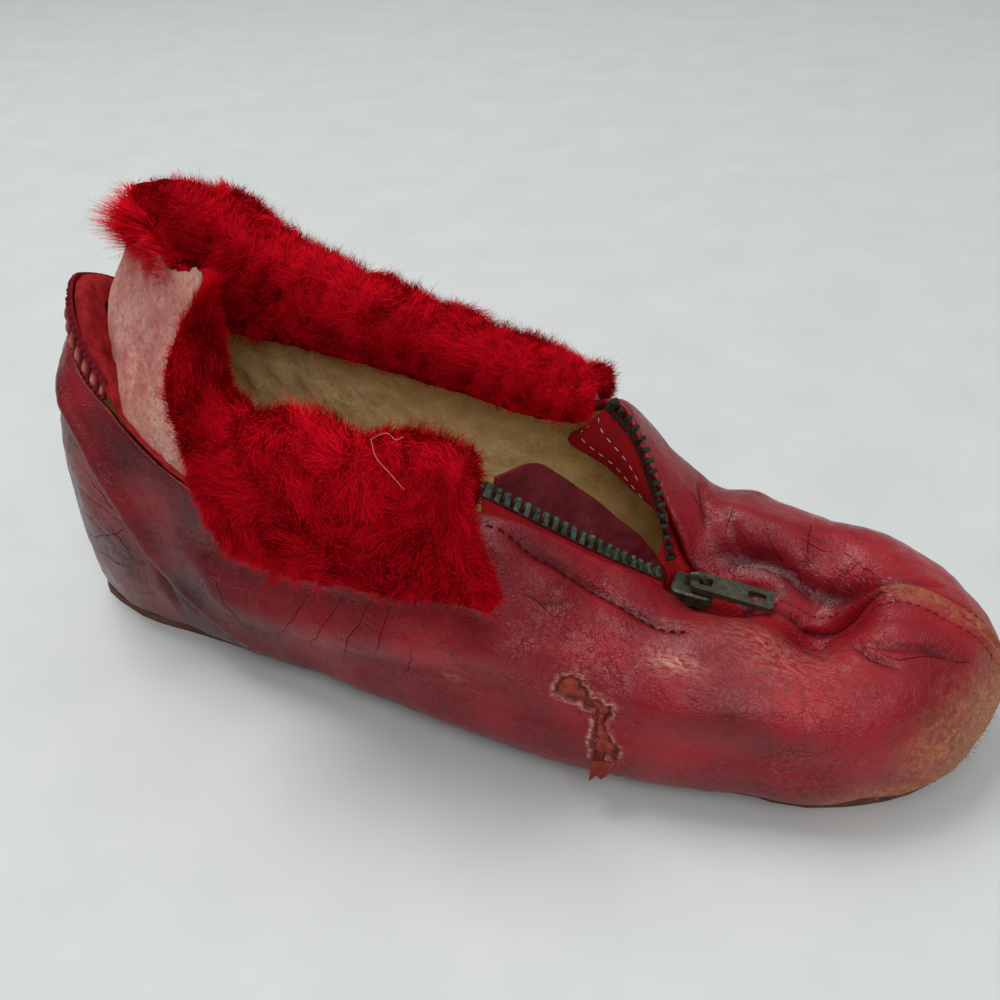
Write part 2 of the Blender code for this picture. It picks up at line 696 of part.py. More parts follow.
def build_tab():
    """Pull tab with an eye round the bail and a window near its end; its origin is on the hinge."""
    hinge = hinge_place()
    work = block(TAB_LONG, TAB_WIDE, TAB_THICK, 1.0)
    rounded(work, True, 1.0, 2)
    bmesh.ops.translate(work, verts=work.verts, vec=(TAB_LONG / 2 - TAB_BACK, 0, 0))
    tab = placed(work, "zip_pull_tab", TAB_PITCH, hinge, hinge, PARTS)
    for name, middle, long, wide in (("tab_eye", 2.3, EYE_LONG, EYE_WIDE),
                                     ("tab_window", 14.7, WINDOW_LONG, WINDOW_WIDE)):
        work = block(long, wide, 4 * TAB_THICK, 1.0)
        rounded(work, True, 0.5, 2)
        bmesh.ops.translate(work, verts=work.verts, vec=(middle, 0, 0))
        cutter = placed(work, name, TAB_PITCH, hinge, hinge, FORMS)
        combine(tab, cutter, "DIFFERENCE")


sole_plate("outsole", -SOLE_LIP, 0.0, SOLE_THICK, "sole")
sole_plate("insole", WALL + 1.6, SOLE_THICK + GAP, INSOLE_THICK, "pile_sock")
build_upper()
build_binding()
build_cuff()
near_way = build_tape("zip_tape_near", NEAR_ROW, -1, 7.05, 9.75, 1.86)
far_way = build_hanging_tape("zip_tape_far", FAR_ROW, FAR_TAPE_EDGE)
build_teeth("zip_teeth_near", NEAR_ROW, near_way)
build_teeth("zip_teeth_far", FAR_ROW, far_way)
build_guard(near_way)
build_slider()
build_tab()
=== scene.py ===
"""Looks of the soft leather bootie slipper: leather, wool, suede, pile and an old zip.

Tables and sizes are in millimetres in the shoe's own frame, with X counted from the back of the
heel, -Y the lateral side and Z up from the floor.  The shapes repeat the values of the part.
"""
import math

import bmesh
import bpy
import numpy as np
from mathutils import Matrix, Vector
from mathutils.bvhtree import BVHTree


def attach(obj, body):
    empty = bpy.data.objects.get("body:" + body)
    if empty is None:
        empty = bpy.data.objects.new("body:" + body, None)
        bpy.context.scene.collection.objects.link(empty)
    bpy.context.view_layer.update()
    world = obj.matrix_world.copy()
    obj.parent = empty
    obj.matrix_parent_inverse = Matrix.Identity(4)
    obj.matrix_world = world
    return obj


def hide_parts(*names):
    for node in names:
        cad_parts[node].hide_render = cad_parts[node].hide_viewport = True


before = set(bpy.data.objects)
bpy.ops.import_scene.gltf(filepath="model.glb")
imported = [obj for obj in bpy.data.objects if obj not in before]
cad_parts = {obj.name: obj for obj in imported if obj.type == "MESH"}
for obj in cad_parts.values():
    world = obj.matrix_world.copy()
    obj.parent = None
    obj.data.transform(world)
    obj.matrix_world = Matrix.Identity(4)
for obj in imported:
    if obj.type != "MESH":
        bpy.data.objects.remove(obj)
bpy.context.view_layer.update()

MM = 0.001
LENGTH = 252.0
ORIGIN_X = 125.0
SHOE = "shoe"

# Sizes of the sole and the wall
SOLE_THICK = 2.6
INSOLE_THICK = 2.6
WALL = 1.8
GAP = 0.3
TOE_BEND = 12.0
BEND_START = 80.0
TOE_LEAN = 0.12
TOE_POLE = 205.0
ARCH_LIFT = 1.2
ARCH_BACK = 72.0
ARCH_FRONT = 120.0
SPRING_START = 212.0
TOE_SPRING = 2.5

# Ribs of the upper from heel to toe: start and plan direction, widest reach of the lateral and medial
# side at height wide_z, tuck of the foot, reach and height of the top edges, roll at the top in degrees
RIB_COLUMNS = ("axis_x", "turn", "near", "far", "wide_z", "tuck",
               "near_in", "near_z", "far_in", "far_z", "roll")
RIBS = (
    (30, 180, 30.6, 30.6, 30, 0.8, 21.5, 84, 21.5, 84, 50),
    (30, 150, 32.2, 31.4, 22, 0.4, 19.0, 83, 21.5, 83, 50),
    (30, 118, 31.0, 30.6, 29, 4.2, 20.0, 77, 23.5, 79, 50),
    (36, 92, 31.4, 30.6, 23, 5.4, 24.5, 69, 25.0, 76, 50),
    (54, 90, 33.4, 31.0, 18, 7.4, 29.5, 58, 25.5, 75, 45),
    (72, 90, 35.4, 31.6, 16, 8.6, 31.5, 54, 25.0, 74, 45),
    (105, 90, 38.2, 34.0, 15, 9.6, 31.5, 60, 24.5, 70, 50),
    (138, 90, 42.2, 40.0, 15, 10.0, 30.5, 68, 23.5, 66, 60),
    (152, 90, 43.6, 42.6, 15, 10.0, 23.0, 58, 22.0, 69, 75),
    (165, 90, 44.2, 44.0, 16, 10.0, 14.5, 47, 14.0, 55, 85),
    (178, 90, 44.0, 44.4, 16, 10.0, 6.5, 43, 6.5, 45, 90),
    (186, 90, 43.6, 44.2, 16, 10.0, 4.6, 45, 4.6, 46, 90),
    (192, 90, 42.8, 43.8, 16, 9.8, 0.0, 46, 0.0, 46, 90),
    (205, 90, 40.8, 42.8, 15, 9.0, 0.0, 44, 0.0, 44, 90),
    (205, 58, 41.8, 42.6, 14, 6.5, 0.0, 44, 0.0, 44, 90),
    (205, 29, 45.2, 44.4, 14, 5.0, 0.0, 44, 0.0, 44, 90),
    (205, 0, 47.0, 47.0, 15, 4.5, 0.0, 44, 0.0, 44, 90),
)
RIB = {name: np.array([row[k] for row in RIBS], float) for k, name in enumerate(RIB_COLUMNS)}
FULLNESS = 0.85
FAR_SWELL = 0.15
FAR_SWELL_RIB = 10.4
FAR_SWELL_HALF = 1.7
ZIP_END_RIB = 12

# Sunk places on top of the foot: middle, half sizes and depth, fading out below a height
HOLLOWS = (
    (188, 4.5, 15, 14, 20.5),
    (210, 3.0, 9, 16, 17),
)
HOLLOW_FROM = 20.0
HOLLOW_OVER = 16.0

# Edge of the heel counter as (x, z), and the step of the leather over it
COUNTER_LINE = ((-2, 78), (10, 73), (19, 66), (32, 50), (44, 27), (84, 7))
COUNTER_STEP = 1.6
COUNTER_SOFT = 1.6
COUNTER_FADE = 16.0
COUNTER_END = 88.0
COUNTER_RUN = 20.0

# Cuff strip along the collar: rib (negative on the lateral side), five places across as (out, up) from
# the collar edge, how far the free edge slumps towards the toe, and the depth of the wool
CUFF = (
    (-6.85, (-3.4, -4), (-2.6, 4), (1.4, 9), (5.2, 4), (8.0, -15), 13, 9.0),
    (-6.3, (-3.4, -4), (-2.8, 6), (1.4, 13), (5.4, 7), (7.4, -12), 10, 11.0),
    (-5.7, (-3.4, -4), (-2.8, 9), (1.4, 18), (5.8, 11), (6.8, -8), 7, 11.0),
    (-5.2, (-3.4, -4), (-2.8, 11), (1.0, 22), (6.6, 16), (8.0, -3), 5, 9.5),
    (-4.85, (-3.4, -4), (-3.4, 14), (-3.0, 30), (3.0, 38), (10.0, 34), 5, 8.5),
    (-4.45, (-3.6, -4), (-4.6, 15), (-7.4, 31), (-10.5, 44), (-13.0, 53), 6, 7.5),
    (-3.7, (-5.0, -4), (-6.5, 13), (-9.5, 27), (-12.0, 38), (-14.0, 46), 9, 7.0),
    (-3.0, (-7.0, -4), (-8.6, 11), (-11.0, 23), (-13.0, 33), (-15.0, 41), 11, 6.5),
    (-1.8, (-9.0, -4), (-10.6, 9), (-12.5, 18), (-14.5, 26), (-16.0, 32), 11, 5.5),
    (0.0, (-9.0, -4), (-10.6, 7), (-12.5, 13), (-14.5, 19), (-16.5, 24), 10, 5.5),
    (1.6, (-6.0, -4), (-7.2, 9), (-8.0, 19), (-7.0, 27), (-4.0, 33), 8, 6.5),
    (2.8, (-3.4, -4), (-3.4, 12), (-1.5, 24), (4.0, 28), (9.0, 24), 4, 8.0),
    (4.4, (-3.4, -4), (-2.8, 7), (1.5, 14), (8.0, 11), (11.0, -4), 0, 8.5),
    (6.0, (-3.4, -4), (-2.6, 4), (1.5, 9), (8.0, 5), (12.0, -9), 0, 8.0),
    (6.8, (-3.4, -4), (-2.6, 2), (1.5, 5), (7.5, 2), (12.5, -8), 0, 7.0),
    (7.45, (-3.4, -4), (-2.6, 1), (1.0, 3.5), (6.0, 1), (13.0, -7), 0, 6.0),
)
SKIN_THICK = 1.4

# Tooth rows of the open zip from the top to the slider
NEAR_ROW = ((138.0, -24.5, 70.0), (147.0, -18.6, 61.5), (157.0, -11.6, 51.8), (166.0, -4.6, 42.6),
            (172.6, 0.8, 36.4))
FAR_ROW = ((151.5, 19.6, 70.5), (160.0, 15.6, 64.5), (167.5, 10.6, 51.0), (172.8, 6.4, 38.2))
FAR_TAPE_EDGE = ((146.2, 19.4, 64.0), (142.4, 21.4, 58.8), (151.8, 20.6, 52.8), (160.5, 17.6, 47.6),
                 (167.6, 14.4, 44.0), (171.5, 11.5, 38.4))
GUARD_EDGE = ((138.8, -19.0, 70.6), (143.5, -8.6, 69.0), (151.0, -4.0, 62.0), (160.0, 0.5, 52.0),
              (168.0, 4.2, 41.5), (172.0, 4.8, 34.4))
TOOTH_PITCH = 2.7
TAPE_THICK = 0.7

# Stitched seam beside the lateral zip edge, as (x, y)
ZIP_SEAM = ((141, -30.5), (149, -27), (157, -23.2), (166, -20.6), (175, -20.3), (187, -21.6))

# Creases of the leather: side of the shoe, the plane they are drawn in,
# half width, height (a trough is negative), and points as (x, z) on the side or (x, y) on top
FOLDS = (
    ("near", "side", 2.6, 1.9, ((7, 75), (19, 67), (26, 60), (32, 51), (38, 41), (43, 31), (46, 24))),
    ("near", "side", 1.2, -2.2, ((6, 72), (18, 64), (25, 57), (31, 48), (36, 39), (41, 29), (44, 20),
                                 (46, 9))),
    ("near", "side", 2.0, 1.3, ((44, 29), (48, 24), (55, 20), (62, 16.5), (72, 12.5), (84, 8))),
    ("near", "side", 1.0, -1.4, ((44, 25), (48, 21.5), (55, 17.5), (62, 13.5), (71, 9.5))),
    ("near", "side", 0.35, -0.35, ((14, 47), (28, 42), (39, 33))),
    ("near", "side", 0.35, -0.3, ((8, 37), (20, 37), (31, 34))),
    ("near", "side", 0.4, -0.4, ((12, 27), (28, 28), (41, 27))),
    ("near", "side", 0.4, -0.35, ((15, 40), (24, 33), (36, 17))),
    ("near", "side", 4.5, -2.6, ((53, 45), (68, 38), (90, 38), (110, 41), (132, 46), (149, 46))),
    ("near", "side", 5.5, 2.4, ((54, 33), (74, 26), (96, 27.5), (123, 32), (145, 37), (161, 33.5))),
    ("near", "side", 5.0, -1.6, ((80, 11), (94, 14), (122, 21), (145, 24), (162, 24), (185, 22))),
    ("near", "side", 5.0, 0.9, ((172, 31), (188, 31), (204, 30), (224, 28))),
    ("near", "side", 4.0, -1.0, ((176, 23), (190, 22), (206, 21), (226, 19))),
    ("near", "top", 2.6, 1.8, ((141, -28), (149, -23.5), (157, -18.5), (166, -14), (175, -11))),
    ("near", "top", 1.0, -1.6, ZIP_SEAM),
    ("near", "top", 2.4, 0.8, ((143, -33), (151, -30), (159, -26.5), (168, -24), (178, -24))),
    ("far", "top", 2.2, -2.4, ((177, 14), (185, 15.5), (191, 16), (197, 15), (203, 13.8), (209, 13.8),
                               (215, 13), (222, 9.5))),
    ("far", "top", 4.5, 1.6, ((174, 23), (184, 23), (193, 23), (201, 21), (209, 20))),
    ("far", "top", 1.9, 1.3, ((183, 11.5), (190, 13), (197, 12.4), (203, 11.8))),
    ("far", "top", 1.3, -1.5, ((184, 9), (191, 10.2), (198, 10.4), (205, 10))),
    ("far", "top", 0.9, -1.0, ((172, 31), (176, 23), (179, 17))),
    ("far", "top", 0.8, -0.8, ((180, 27), (184, 21), (188, 17))),
    ("far", "top", 0.5, -0.5, ((197, 26), (203, 24), (210, 25))),
    ("both", "top", 5.0, -3.2, ((211, 1), (213, 6), (214, 11))),
    ("near", "top", 0.9, -1.3, ((216, -5), (223, -8.5), (229, -6.8), (235, -3.5), (240, -1.5), (247, 2))),
    ("near", "top", 1.8, 0.8, ((222, -3.5), (230, -1.5), (237, 1.5), (243, 4.5))),
    ("near", "top", 0.8, -1.3, ((217, -6), (223, -11.5), (230, -12))),
    ("far", "top", 0.9, -1.0, ((212, 10), (218, 11.5), (223, 12.5), (229, 15), (236, 19))),
    ("near", "top", 0.4, -0.4, ((200, -22), (202, -25.5), (203, -28))),
    ("near", "top", 0.4, -0.4, ((203, -21.5), (205, -25), (206, -28))),
    ("near", "top", 0.4, -0.4, ((206, -21), (208, -24.5), (209, -27.5))),
    ("near", "top", 0.4, -0.4, ((209, -20.5), (211, -24), (212, -27))),
    ("near", "top", 0.4, -0.5, ((203, -1), (207, -7), (212, -12))),
    ("near", "top", 0.4, -0.5, ((196, -6), (203, -9), (211, -9))),
    ("far", "top", 0.4, -0.6, ((208, 10), (204, 18), (201, 24))),
    ("far", "top", 0.4, -0.6, ((208, 10), (211, 17), (216, 22))),
    ("near", "side", 0.35, -0.35, ((150, 52), (156, 48), (162, 47))),
    ("near", "side", 0.35, -0.35, ((152, 46), (156, 50), (159, 54))),
)

# Fine sharp creases, drawn as thin dark lines of painted shade: plane, and points as in the folds
CREASES = (
    ("side", ((11.5, 26.5), (27, 34), (42, 43.5))),
    ("side", ((25.5, 38.5), (33.5, 27.5))),
    ("side", ((12, 22), (32.5, 24.5))),
    ("side", ((20, 55), (30, 44), (36, 40))),
    ("side", ((113, 41.5), (107.5, 31), (101, 18.5))),
    ("side", ((104, 38.5), (98, 29), (91.5, 18.5))),
    ("side", ((95, 37), (89, 29), (83, 20.5))),
    ("side", ((118, 40.5), (114, 25.5))),
    ("side", ((64, 33), (70, 25), (74, 18))),
    ("side", ((126, 36), (123, 26), (118, 18))),
    ("side", ((149.5, 52), (158.5, 45))),
    ("top", ((172, 24), (178.5, 20.5))),
    ("top", ((182.5, 26), (183, 17.5))),
    ("top", ((190.5, 23), (196.5, 17.5), (205.5, 15))),
    ("top", ((201.5, 30), (202.5, 21), (206, 16))),
    ("top", ((208.5, 24), (215.5, 20), (222.5, 9))),
    ("top", ((200, 21.5), (208.5, 23))),
    ("top", ((186, 15.5), (193, 16), (199, 14.5), (207, 13.8))),
    ("top", ((219.5, -9), (226.5, -10.5), (235.5, -4), (243.5, 1))),
    ("top", ((217, -6), (223, -11.5), (230, -12))),
    ("top", ((203, -1), (207, -7), (212, -12))),
    ("top", ((196, -6), (203, -9), (211, -9))),
)

# The torn place in the lateral side, as (x, z)
TEAR = (
    (159.6, 31), (160.8, 34), (163, 35), (165.5, 34), (167, 31.5), (170, 30), (173, 29), (173.3, 27.3),
    (172, 25), (172.2, 22), (174, 19.5), (176, 18), (175, 15.5), (171, 13), (169, 15), (168.8, 20),
    (169.3, 24), (168.8, 27), (166.5, 28.2), (162, 29), (159.8, 30),
)
TEAR_DEPTH = 1.5
TEAR_SPAN = (156, 179)

# Pale scuffs of the lateral side: plane, strength, then middle and half size along x and across
PALE_SPOTS = (
    ("top", 1.0, 184, 5.5, -28.2, 2.2),
    ("top", 0.45, 203, 12, -16, 8),
    ("side", 0.8, 134, 2.2, 26.5, 1.6),
)

# Spacing of the leather's points, and its rows below and above the widest place
PACE = 1.32
PACE_AT_TEAR = 0.55
LOW_ROWS = 13
HIGH_ROWS = 67
DARK_FOLD_HALF = 2.5


def eased(knots, values, at):
    """Smooth curve through a table column that never passes beyond its neighbouring values."""
    knots = np.asarray(knots, float)
    values = np.asarray(values, float)
    step = np.diff(knots)
    slope = np.diff(values) / step
    tangent = np.zeros(len(knots))
    both = slope[:-1] * slope[1:] > 0
    total = np.where(both, slope[:-1] + slope[1:], 1.0)
    tangent[1:-1] = np.where(both, 2 * slope[:-1] * slope[1:] / total, 0.0)
    tangent[0] = slope[0]
    tangent[-1] = slope[-1]
    at = np.clip(np.asarray(at, float), knots[0], knots[-1])
    cell = np.clip(np.searchsorted(knots, at, side="right") - 1, 0, len(step) - 1)
    t = (at - knots[cell]) / step[cell]
    h = step[cell]
    return ((1 + 2 * t) * (1 - t) ** 2 * values[cell] + t * (1 - t) ** 2 * h * tangent[cell]
            + t * t * (3 - 2 * t) * values[cell + 1] + t * t * (t - 1) * h * tangent[cell + 1])


def flowing(points, at):
    """Smooth line through a short list of points, with at running from 0 to 1."""
    points = np.asarray(points, float)
    size = run_of(points)
    size = size / size[-1]
    return np.stack([eased(size, points[:, k], at) for k in range(points.shape[1])], axis=-1)


def run_of(line):
    """Length along a line of points, from its start to each point."""
    return np.r_[0, np.cumsum(np.linalg.norm(np.diff(line, axis=0), axis=1))]


def smooth(low, high, value):
    """Soft step from 0 at low to 1 at high."""
    t = np.clip((value - low) / (high - low), 0, 1)
    return t * t * (3 - 2 * t)


def unit(vectors):
    """Vectors brought to unit length."""
    return vectors / np.maximum(np.linalg.norm(vectors, axis=-1), 1e-9)[..., None]


# Shape of the upper, as in the part

def bend_at(x):
    """How far the centre line has curved to the medial side."""
    return TOE_BEND * (np.clip(np.asarray(x, float) - BEND_START, 0, None) / (LENGTH - BEND_START)) ** 2


def seam_y(x):
    """Centre seam of the toe in plan."""
    x = np.asarray(x, float)
    return np.where(x < TOE_POLE, bend_at(x), bend_at(TOE_POLE) + TOE_LEAN * (x - TOE_POLE))


def lift_at(x):
    """Height of the underside over the floor, at the arch and the toe."""
    x = np.asarray(x, float)
    arch = ARCH_LIFT * np.sin(np.pi * np.clip((x - ARCH_BACK) / (ARCH_FRONT - ARCH_BACK), 0, 1)) ** 2
    spring = TOE_SPRING * (np.clip(x - SPRING_START, 0, None) / (LENGTH - SPRING_START)) ** 2
    return arch + spring


def rib_value(name, station):
    return eased(np.arange(len(RIBS)), RIB[name], station)


def rib_plan(station, side):
    """Start of a rib on the centre line and its direction, in plan."""
    turn = np.radians(rib_value("turn", station))
    axis_x = rib_value("axis_x", station)
    ahead = np.cos(turn)
    aside = side * np.sin(turn) + TOE_LEAN * np.clip(ahead, 0, None)
    return np.stack([axis_x, bend_at(axis_x)], -1), np.stack([ahead, aside], -1)


def plan_point(station, side, reach):
    start, way = rib_plan(station, side)
    return start + way * np.asarray(reach)[..., None]


def hollow_depth(x, y):
    depth = np.zeros(np.broadcast(x, y).shape)
    for cx, cy, half_x, half_y, deep in HOLLOWS:
        depth = depth + deep * np.exp(-((x - cx) / half_x) ** 2 - ((y - cy) / half_y) ** 2)
    return depth


def counter_push(x, z):
    line = np.array(COUNTER_LINE, float)
    line_z = eased(line[:, 0], line[:, 1], x)
    above = z - line_z
    step = 1 / (1 + np.exp(-np.clip(above / COUNTER_SOFT, -30, 30)))
    fade = np.exp(-np.clip(above, 0, None) / COUNTER_FADE) * np.clip((COUNTER_END - x) / COUNTER_RUN, 0, 1)
    return COUNTER_STEP * step * fade


def upper_point(station, row, side):
    """Point of the upper's outside; row is 0 at the sole, 1 at the widest, 2 at the top edge."""
    station, row = np.broadcast_arrays(np.asarray(station, float), np.asarray(row, float))
    which = "near" if side < 0 else "far"
    reach = rib_value(which, station)
    wide_z = rib_value("wide_z", station)
    tuck = rib_value("tuck", station)
    top_in = np.clip(rib_value(which + "_in", station), 0, None)
    top_z = rib_value(which + "_z", station)
    roll = np.radians(rib_value("roll", station))
    edge_z = SOLE_THICK + GAP + lift_at(plan_point(station, side, reach - tuck)[..., 0])
    low = np.clip(row, 0, 1) * np.pi / 2
    out_low = reach - tuck * (1 - np.sin(low))
    z_low = edge_z + (wide_z - edge_z) * (1 - np.cos(low))
    high = np.clip(row - 1, 0, 1) * roll
    level = np.sin(high) / np.sin(roll)
    inward = (np.cos(high) - np.cos(roll)) / (1 - np.cos(roll))
    swell = FAR_SWELL * np.exp(-((station - FAR_SWELL_RIB) / FAR_SWELL_HALF) ** 2) * (side > 0)
    out_high = top_in + (reach - top_in) * np.clip(inward, 0, 1) ** (FULLNESS - swell)
    z_high = wide_z + (top_z - wide_z) * np.clip(level, 0, 1) ** (FULLNESS - swell)
    out = np.where(row <= 1, out_low, out_high)
    z = np.where(row <= 1, z_low, z_high)
    flat = plan_point(station, side, out)
    out = out + counter_push(flat[..., 0], z)
    flat = plan_point(station, side, out)
    z = z - hollow_depth(flat[..., 0], flat[..., 1]) * np.clip((z - HOLLOW_FROM) / HOLLOW_OVER, 0, 1)
    return np.concatenate([flat, z[..., None]], -1)


def upper_normal(station, row, side):
    step = 0.02
    along = upper_point(station + step, row, side) - upper_point(station - step, row, side)
    up = upper_point(station, np.minimum(row + step, 2), side) - upper_point(station, row - step, side)
    return unit(np.cross(along, up) * (-side))


# Meshes from arrays

def to_world(points):
    points = np.array(points, float)
    points[..., 0] -= ORIGIN_X
    return points * MM


def array_mesh(name, points, faces, material, soft=True):
    """Object from an array of points in millimetres and an array of faces of equal size."""
    mesh = bpy.data.meshes.new(name)
    faces = np.ascontiguousarray(faces, np.int32)
    world = np.ascontiguousarray(to_world(points).reshape(-1, 3), np.float32)
    mesh.vertices.add(len(world))
    mesh.vertices.foreach_set("co", world.ravel())
    mesh.loops.add(faces.size)
    mesh.loops.foreach_set("vertex_index", faces.ravel())
    mesh.polygons.add(len(faces))
    mesh.polygons.foreach_set("loop_start", np.arange(0, faces.size, faces.shape[1], dtype=np.int32))
    mesh.update(calc_edges=True)
    mesh.polygons.foreach_set("use_smooth", np.full(len(faces), soft))
    mesh.materials.append(material)
    made = bpy.data.objects.new(name, mesh)
    bpy.context.scene.collection.objects.link(made)
    return made


def belongs(made, node_name=None):
    """Tie a piece to the shoe's body and to the node that it stands for."""
    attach(made, SHOE)
    if node_name:
        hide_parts(node_name)


def paint(made, name, colours):
    """Store a colour for each point of a mesh."""
    layer = made.data.attributes.new(name, "FLOAT_COLOR", "POINT")
    colours = np.asarray(colours, np.float32)
    if colours.shape[-1] == 3:
        colours = np.concatenate([colours, np.ones(colours.shape[:-1] + (1,), np.float32)], -1)
    layer.data.foreach_set("color", np.ascontiguousarray(colours).ravel())


def grid_faces(rows, cols, first=0, flip=False):
    """Quads of a grid of points, counted row by row."""
    i, j = np.meshgrid(np.arange(rows - 1), np.arange(cols - 1), indexing="ij")
    a = first + i * cols + j
    quads = np.stack([a, a + cols, a + cols + 1, a + 1], -1).reshape(-1, 4)
    return quads[:, ::-1] if flip else quads


def grid_normals(grid):
    along = np.gradient(grid, axis=0)
    across = np.gradient(grid, axis=1)
    return unit(np.cross(along, across))


def reworked(made, change):
    """Run a change on the mesh of a piece."""
    work = bmesh.new()
    work.from_mesh(made.data)
    change(work)
    work.to_mesh(made.data)
    work.free()


def face_outwards(work):
    bmesh.ops.recalc_face_normals(work, faces=work.faces)


def sheet_body(name, under, over, material):
    """Closed body between two grids of points of the same shape."""
    rows, cols = under.shape[:2]
    count = rows * cols
    edge = [j for j in range(cols)]
    edge += [i * cols + cols - 1 for i in range(1, rows)]
    edge += [(rows - 1) * cols + j for j in range(cols - 2, -1, -1)]
    edge += [i * cols for i in range(rows - 2, 0, -1)]
    edge = np.array(edge)
    following = np.roll(edge, -1)
    rim = np.stack([edge, following, following + count, edge + count], -1)
    faces = np.concatenate([grid_faces(rows, cols, 0, True), grid_faces(rows, cols, count), rim])
    points = np.concatenate([under.reshape(-1, 3), over.reshape(-1, 3)])
    made = array_mesh(name, points, faces, material)
    reworked(made, face_outwards)
    return made


def tubes(name, lines, radius, material, sides=6, profile=None):
    """Many short round strands of equal point count in one mesh, with closed tapered ends."""
    lines = np.asarray(lines, float)
    number, steps = lines.shape[:2]
    profile = np.ones(steps) if profile is None else np.asarray(profile, float)
    way = unit(np.gradient(lines, axis=1))
    helper = np.where(np.abs(way[..., 2:]) > 0.85, np.array([1.0, 0, 0]), np.array([0, 0, 1.0]))
    across = unit(np.cross(way, helper))
    up = np.cross(across, way)
    angle = 2 * np.pi * np.arange(sides) / sides
    ring = (across[:, :, None] * np.cos(angle)[None, None, :, None]
            + up[:, :, None] * np.sin(angle)[None, None, :, None])
    size = np.broadcast_to(np.asarray(radius, float), (number,))
    points = lines[:, :, None] + ring * (profile[None, :] * size[:, None])[:, :, None, None]
    k, s, a = np.meshgrid(np.arange(number), np.arange(steps - 1), np.arange(sides), indexing="ij")
    base = k * steps * sides + s * sides
    nxt = (a + 1) % sides
    quads = np.stack([base + a, base + nxt, base + sides + nxt, base + sides + a], -1).reshape(-1, 4)
    made = array_mesh(name, points.reshape(-1, 3), quads, material)

    def close_ends(work):
        rims = [edge for edge in work.edges if edge.is_boundary]
        bmesh.ops.holes_fill(work, edges=rims, sides=sides)
        face_outwards(work)
        for face in work.faces:
            face.smooth = True

    reworked(made, close_ends)
    return made


def waves(points, seed, count, shortest, longest):
    """Smooth random field of about unit size over points, from a sum of plane waves."""
    chance = np.random.default_rng(seed)
    points = np.asarray(points, float)
    out = np.zeros(points.shape[:-1])
    for _ in range(count):
        way = unit(chance.normal(size=points.shape[-1]))
        size = chance.uniform(shortest, longest)
        out = out + np.sin(2 * np.pi * (points @ way) / size + chance.uniform(0, 2 * np.pi))
    return out / math.sqrt(count / 2)


# Node helpers

def start_material(name, roughness, **sockets):
    made = bpy.data.materials.new(name)
    made.use_nodes = True
    tree = made.node_tree
    shader = tree.nodes["Principled BSDF"]
    shader.inputs["Roughness"].default_value = roughness
    for key, value in sockets.items():
        shader.inputs[key.replace("_", " ")].default_value = value
    return made, tree, shader


def node(tree, kind, settings=None, inputs=None):
    made = tree.nodes.new(kind)
    for key, value in (settings or {}).items():
        setattr(made, key, value)
    for key, value in (inputs or {}).items():
        socket = made.inputs[key]
        if isinstance(value, bpy.types.NodeSocket):
            tree.links.new(value, socket)
        else:
            socket.default_value = value
    return made


def place_of(tree, stretch=(1, 1, 1)):
    """Place on the shoe in metres, stretched."""
    where = node(tree, "ShaderNodeTexCoord").outputs["Object"]
    if stretch == (1, 1, 1):
        return where
    return node(tree, "ShaderNodeMapping", None, {"Vector": where, "Scale": stretch}).outputs["Vector"]


def warped(tree, scale, amount):
    """Place on the shoe pushed about by noise, so that cells have bent edges."""
    where = place_of(tree)
    push = node(tree, "ShaderNodeTexNoise", None, {"Vector": where, "Scale": scale, "Detail": 3.0})
    centred = node(tree, "ShaderNodeVectorMath", {"operation": "SUBTRACT"},
                   {0: push.outputs["Color"], 1: (0.5, 0.5, 0.5)})
    sized = node(tree, "ShaderNodeVectorMath", {"operation": "SCALE"},
                 {0: centred.outputs["Vector"], "Scale": amount})
    added = node(tree, "ShaderNodeVectorMath", {"operation": "ADD"}, {0: where, 1: sized.outputs["Vector"]})
    return added.outputs["Vector"]


def noise(tree, scale, detail=4.0, rough=0.55, stretch=(1, 1, 1), where=None):
    where = place_of(tree, stretch) if where is None else where
    inputs = {"Vector": where, "Scale": scale, "Detail": detail, "Roughness": rough}
    return node(tree, "ShaderNodeTexNoise", None, inputs).outputs["Fac"]


def cells(tree, scale, feature="DISTANCE_TO_EDGE", stretch=(1, 1, 1), where=None):
    where = place_of(tree, stretch) if where is None else where
    made = node(tree, "ShaderNodeTexVoronoi", {"feature": feature}, {"Vector": where, "Scale": scale})
    return made.outputs["Distance"]


def ranged(tree, value, low, high, to_low=0.0, to_high=1.0):
    inputs = {"Value": value, "From Min": low, "From Max": high, "To Min": to_low, "To Max": to_high}
    return node(tree, "ShaderNodeMapRange", None, inputs).outputs["Result"]


def patches(tree, *shape):
    """Soft clouds of noise, spread from 0 to 1."""
    return ranged(tree, noise(tree, *shape), 0.3, 0.7)


def maths(tree, kind, first, second=0.0):
    made = node(tree, "ShaderNodeMath", {"operation": kind})
    for socket, value in zip(made.inputs, (first, second)):
        if isinstance(value, bpy.types.NodeSocket):
            tree.links.new(value, socket)
        else:
            socket.default_value = value
    return made.outputs["Value"]


def contour(tree, field, width):
    """Thin bent lines where a field passes its middle value."""
    away = maths(tree, "ABSOLUTE", maths(tree, "SUBTRACT", field, 0.5))
    return ranged(tree, away, 0.0, width, 1.0, 0.0)


def mixed(tree, factor, first, second, blend="MIX"):
    """Mix two colours, given as sockets or as values."""
    made = node(tree, "ShaderNodeMix", {"data_type": "RGBA", "blend_type": blend})
    for index, value in ((0, factor), (6, first), (7, second)):
        socket = made.inputs[index]
        if isinstance(value, bpy.types.NodeSocket):
            tree.links.new(value, socket)
        elif index == 0:
            socket.default_value = value
        else:
            socket.default_value = tuple(value) + (1.0,)
    return made.outputs[2]


